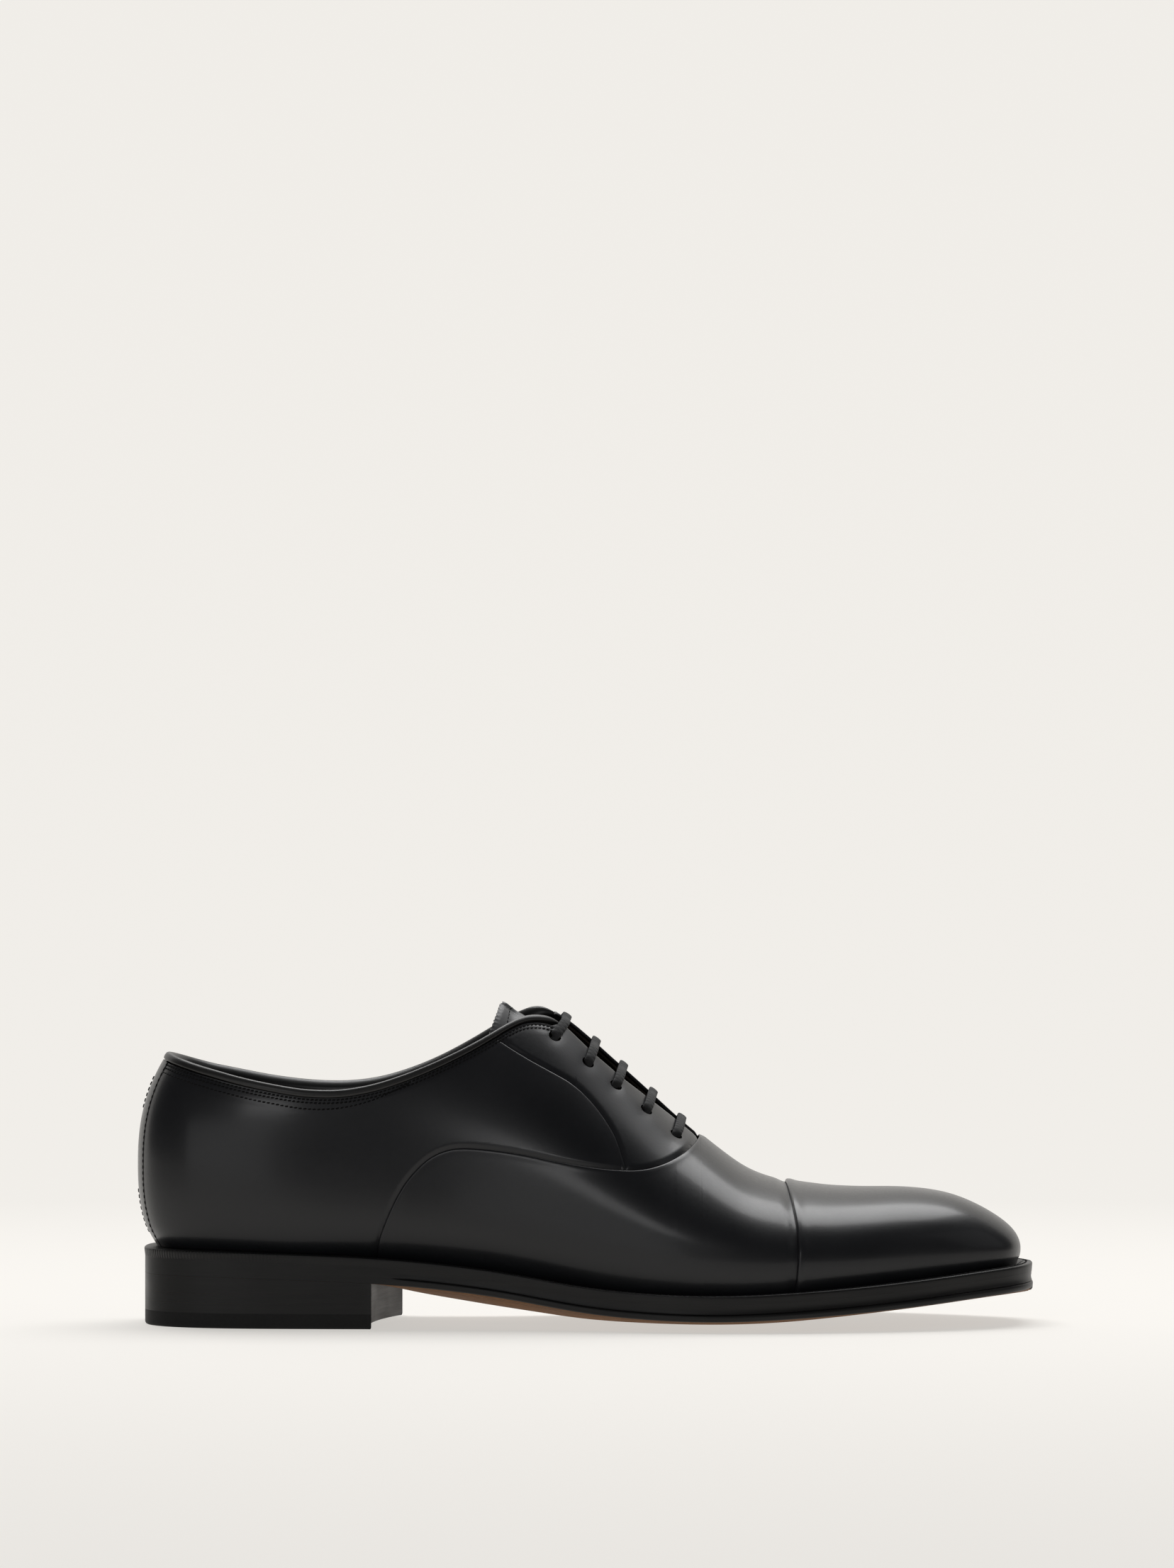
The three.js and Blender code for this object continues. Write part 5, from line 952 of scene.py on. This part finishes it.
G = np.stack([A] + mid + [Bm], 1); V.append(G.reshape(-1, 3)); F.append(grid_faces(G.shape[0], G.shape[1], gb3, True)); fm.append(np.zeros(len(F[-1]), int)); uv = np.vstack([uv, np.tile([0.0, 2.0], (G.shape[0] * G.shape[1], 1))])
make("outsole_leather", np.vstack(V) + OFF, np.vstack(F), "sole", replaces="outsole", uv=uv, sharp=50, mats=["edge", "sole"], fmat=np.concatenate(fm), merge=4e-6)

# welt stitching, seen from above
P = np.column_stack([E0 + EN * -2.1, base(E0[:, 0], E0[:, 1]) + 0.02]) + OFF
P = np.vstack([P, P[:1]]); sel = P[:, 0] > -78
idx = np.where(sel)[0]; seg = P[idx]
stitches("welt_stitching", [(seg, np.tile([0.0, 0, 1.0], (len(seg), 1)))], 2.3, 1.9, 0.34, sink=0.0)

# heel: stacked lifts and a top piece, closed by a curved breast
LIFTS = [("top_piece", 0.0, 5.0), ("heel_lift_1", 5.015, 8.4), ("heel_lift_2", 8.415, 11.6), ("heel_lift_3", 11.615, None)]
uBl, uBm = float(station(-71.2, SX0, SX1)), float(station(-62.8, SX0, SX1))
NB, NC = 90, 33
for li, (nm, z0, z1) in enumerate(LIFTS):
    lat = [edge_pt(uBl * f, -1, 0.0)[0] for f in np.linspace(0, 1, NB)]; med = [edge_pt(uBm * f, 1, 0.0)[0] for f in np.linspace(0, 1, NB)]
    a, b = lat[-1], med[-1]
    br = [np.array([a[0] + (b[0] - a[0]) * t - 4.2 * 4 * t * (1 - t), a[1] + (b[1] - a[1]) * t]) for t in np.linspace(0, 1, NC)[1:-1]]
    o2 = np.array(lat + br + med[::-1][:-1]); cen = np.array([-108.0, 0.0])
    nr = np.roll(o2, -1, 0) - np.roll(o2, 1, 0); nr = np.column_stack([nr[:, 1], -nr[:, 0]]); nr /= np.linalg.norm(nr, axis=1, keepdims=True)
    nr *= np.sign(((o2 - cen) * nr).sum(1))[:, None]
    zt = (base(o2[:, 0], o2[:, 1]) - SOLE_BOT - 0.03) if z1 is None else np.full(len(o2), z1)
    zb = np.full(len(o2), z0)
    lv = [(0.0, 0.0), (0.02, 0.0), (0.1, 0.0), (0.3, 0.0), (0.5, 0.0), (0.7, 0.0), (0.9, 0.0), (0.98, 0.0), (1.0, 0.0)]
    if li == 0:
        lv = [(0.0, -0.45), (0.03, -0.22), (0.08, -0.07), (0.16, 0.0)] + lv[3:]
    prof3 = []
    for t, k in lv:
        k2 = k
        prof3.append(np.column_stack([o2 + nr * (k2 - 0.24), zb + (zt - zb) * t]))
    R = np.stack(prof3, 1); n, m = R.shape[:2]
    def fan(ringp, zf):
        rs = [ringp * (1 - q) + np.append(cen, 0)[None] * q for q in (0.12, 0.4, 0.7)]
        out = []
        for r3 in rs:
            r3 = r3.copy(); r3[:, 2] = zf(r3[:, 0], r3[:, 1]); out.append(r3)
        return out
    zf_b = lambda x, y: np.full(len(x), z0)
    zf_t = (lambda x, y: base(x, y) - SOLE_BOT - 0.1) if z1 is None else (lambda x, y: np.full(len(x), z1))
    b0 = R[:, 0].copy(); b0[:, 2] = z0; t0 = R[:, -1].copy()
    full = np.stack([np.tile([cen[0], cen[1], z0], (n, 1))] + fan(b0, zf_b)[::-1] + [R[:, k] for k in range(m)] + fan(t0, zf_t) + [np.column_stack([np.tile(cen, (n, 1)), np.full(n, float(zf_t(np.array([cen[0]]), np.array([cen[1]]))[0]))])], 1)
    F = grid_faces(n, full.shape[1], ring_i=True)
    colm = np.array([1 if NB - 1 <= i < NB + NC - 2 else 0 for i in range(n)])
    fmat = np.repeat(colm, full.shape[1] - 1).reshape(n, -1)
    if li == 0:
        fmat[:] = np.where(fmat == 1, 1, 2)
    fmat[:, :4] = 2; fmat[:, -4:] = 2; fmat = fmat.ravel()
    key = "rubber" if li == 0 else "edge"
    make(nm + "_stack", full.reshape(-1, 3) + OFF, F, key, replaces=nm, sharp=50, mats=["edge", "breast", "rubber" if li == 0 else "natural"], fmat=fmat, merge=4e-6)

# sock liner on the insole
def feather(u, side, inset):
    p = surf(u, side, -0.8) - OFF; nn = normal(u, side, -0.8); l = math.hypot(nn[0], nn[1]); nx, ny = nn[0] / l, nn[1] / l
    if u < 1e-6: nx, ny = -1, 0
    if u > 1 - 1e-6: nx, ny = 1, 0
    return np.array([p[0] - nx * inset, p[1] - ny * inset])
G0, G1 = [], []
for u in np.concatenate([[0, 0.004, 0.01, 0.02], np.linspace(0.035, 0.965, 80), [0.98, 0.99, 0.996, 1]]):
    a, b = feather(u, -1, 5.2), feather(u, 1, 5.2); tt = np.linspace(0, 1, 25); P = a[None] * (1 - tt)[:, None] + b[None] * tt[:, None]
    zz = base(P[:, 0], P[:, 1]) + SOCK - 0.1 * 0; ed = 0.5 * np.exp(-(np.minimum(tt, 1 - tt) * 30) ** 2)
    G0.append(np.column_stack([P, zz - ed * 0.6])); G1.append(np.column_stack([P, base(P[:, 0], P[:, 1]) + 3.6]))
V, F = thick(np.array(G0) + OFF, np.array(G1) + OFF); make("sock_liner_skin", V, F, "sock", replaces="sock_liner", merge=4e-6)

# ------------------------------------------------------------------ CAD nodes that stay
KEEP = {"insole": "natural", "insole_rib": "natural", "cork_filler": "cork", "shank": "steel"}
KEEP.update({f"heel_nail_{i}": "steel" for i in range(1, 6)})
KEEP.update({f"eyelet_{s}_{i}": "brass" for s in ("lateral", "medial") for i in range(1, 6)})
for nme, k in KEEP.items():
    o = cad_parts[nme]; o = o if hasattr(o, "material_slots") else bpy.data.objects[nme]
    for sl in o.material_slots:
        sl.material = M[k]

# ------------------------------------------------------------------ floor, backdrop, light
m, nt, b = tree("studio_backdrop")
b.inputs["Base Color"].default_value = (0.93, 0.905, 0.865, 1); b.inputs["Roughness"].default_value = 0.9; b.inputs["Specular IOR Level"].default_value = 0.1
em = node(nt, "ShaderNodeEmission"); em.inputs["Color"].default_value = (0.879, 0.855, 0.815, 1); em.inputs["Strength"].default_value = 1.0
mx = node(nt, "ShaderNodeMixShader")
pos = node(nt, "ShaderNodeSeparateXYZ"); nt.links.new(node(nt, "ShaderNodeTexCoord").outputs["Object"], pos.inputs[0])
gr = node(nt, "ShaderNodeMapRange", i_1=-0.05, i_2=0.75, i_3=0.61, i_4=0.99); nt.links.new(pos.outputs[1], gr.inputs[0]); nt.links.new(gr.outputs[0], mx.inputs[0])
outn = [n_ for n_ in nt.nodes if n_.type == "OUTPUT_MATERIAL"][0]
nt.links.new(b.outputs[0], mx.inputs[1]); nt.links.new(em.outputs[0], mx.inputs[2]); nt.links.new(mx.outputs[0], outn.inputs[0])
prof = [(-1.6, 0.0)] + [(y, 0.0) for y in np.linspace(-1.2, 1.2, 13)] + [(1.2 + 0.9 * math.sin(t), 0.9 - 0.9 * math.cos(t)) for t in np.linspace(0.1, PI / 2, 14)] + [(2.1, 1.4), (2.1, 2.4)]
V = [(x, y, z) for y, z in prof for x in (-3.0, 3.0)]
F = [(2 * i, 2 * i + 1, 2 * i + 3, 2 * i + 2) for i in range(len(prof) - 1)]
me = bpy.data.meshes.new("backdrop"); me.from_pydata(V, [], F); me.materials.append(m)
for p in me.polygons: p.use_smooth = True
bd = bpy.data.objects.new("backdrop", me); bpy.context.scene.collection.objects.link(bd)


def area(name, loc, target, size, power, size_y=None, color=(1, 1, 1)):
    l = bpy.data.lights.new(name, "AREA"); l.shape = "RECTANGLE"; l.size = size; l.size_y = size_y or size; l.energy = power; l.color = color
    o = bpy.data.objects.new(name, l); o.location = loc
    from mathutils import Vector
    o.rotation_euler = (Vector(target) - Vector(loc)).to_track_quat("-Z", "Y").to_euler()
    bpy.context.scene.collection.objects.link(o); return o


area("overhead", (0.05, 0.6, 1.4), (0, 0.02, 0), 1.5, 29, 0.9)
area("front_soft", (-0.36, -1.33, 0.60), (0.0, 0, 0.05), 0.3, 1.15, 0.2)
area("right_strip", (1.5, -0.3, 0.9), (0.1, 0, 0.05), 1.1, 1.3, 1.1)
area("left_soft", (-1.0, -1.6, 0.28), (0, 0, 0.05), 1.3, 2.6, 0.6)
w = bpy.data.worlds.new("studio"); bpy.context.scene.world = w; w.use_nodes = True
bg = w.node_tree.nodes["Background"]; bg.inputs[0].default_value = (0.95, 0.97, 1.0, 1); bg.inputs[1].default_value = 0.06
sc = bpy.context.scene
sc.view_settings.view_transform = "Standard"; sc.view_settings.look = "None"
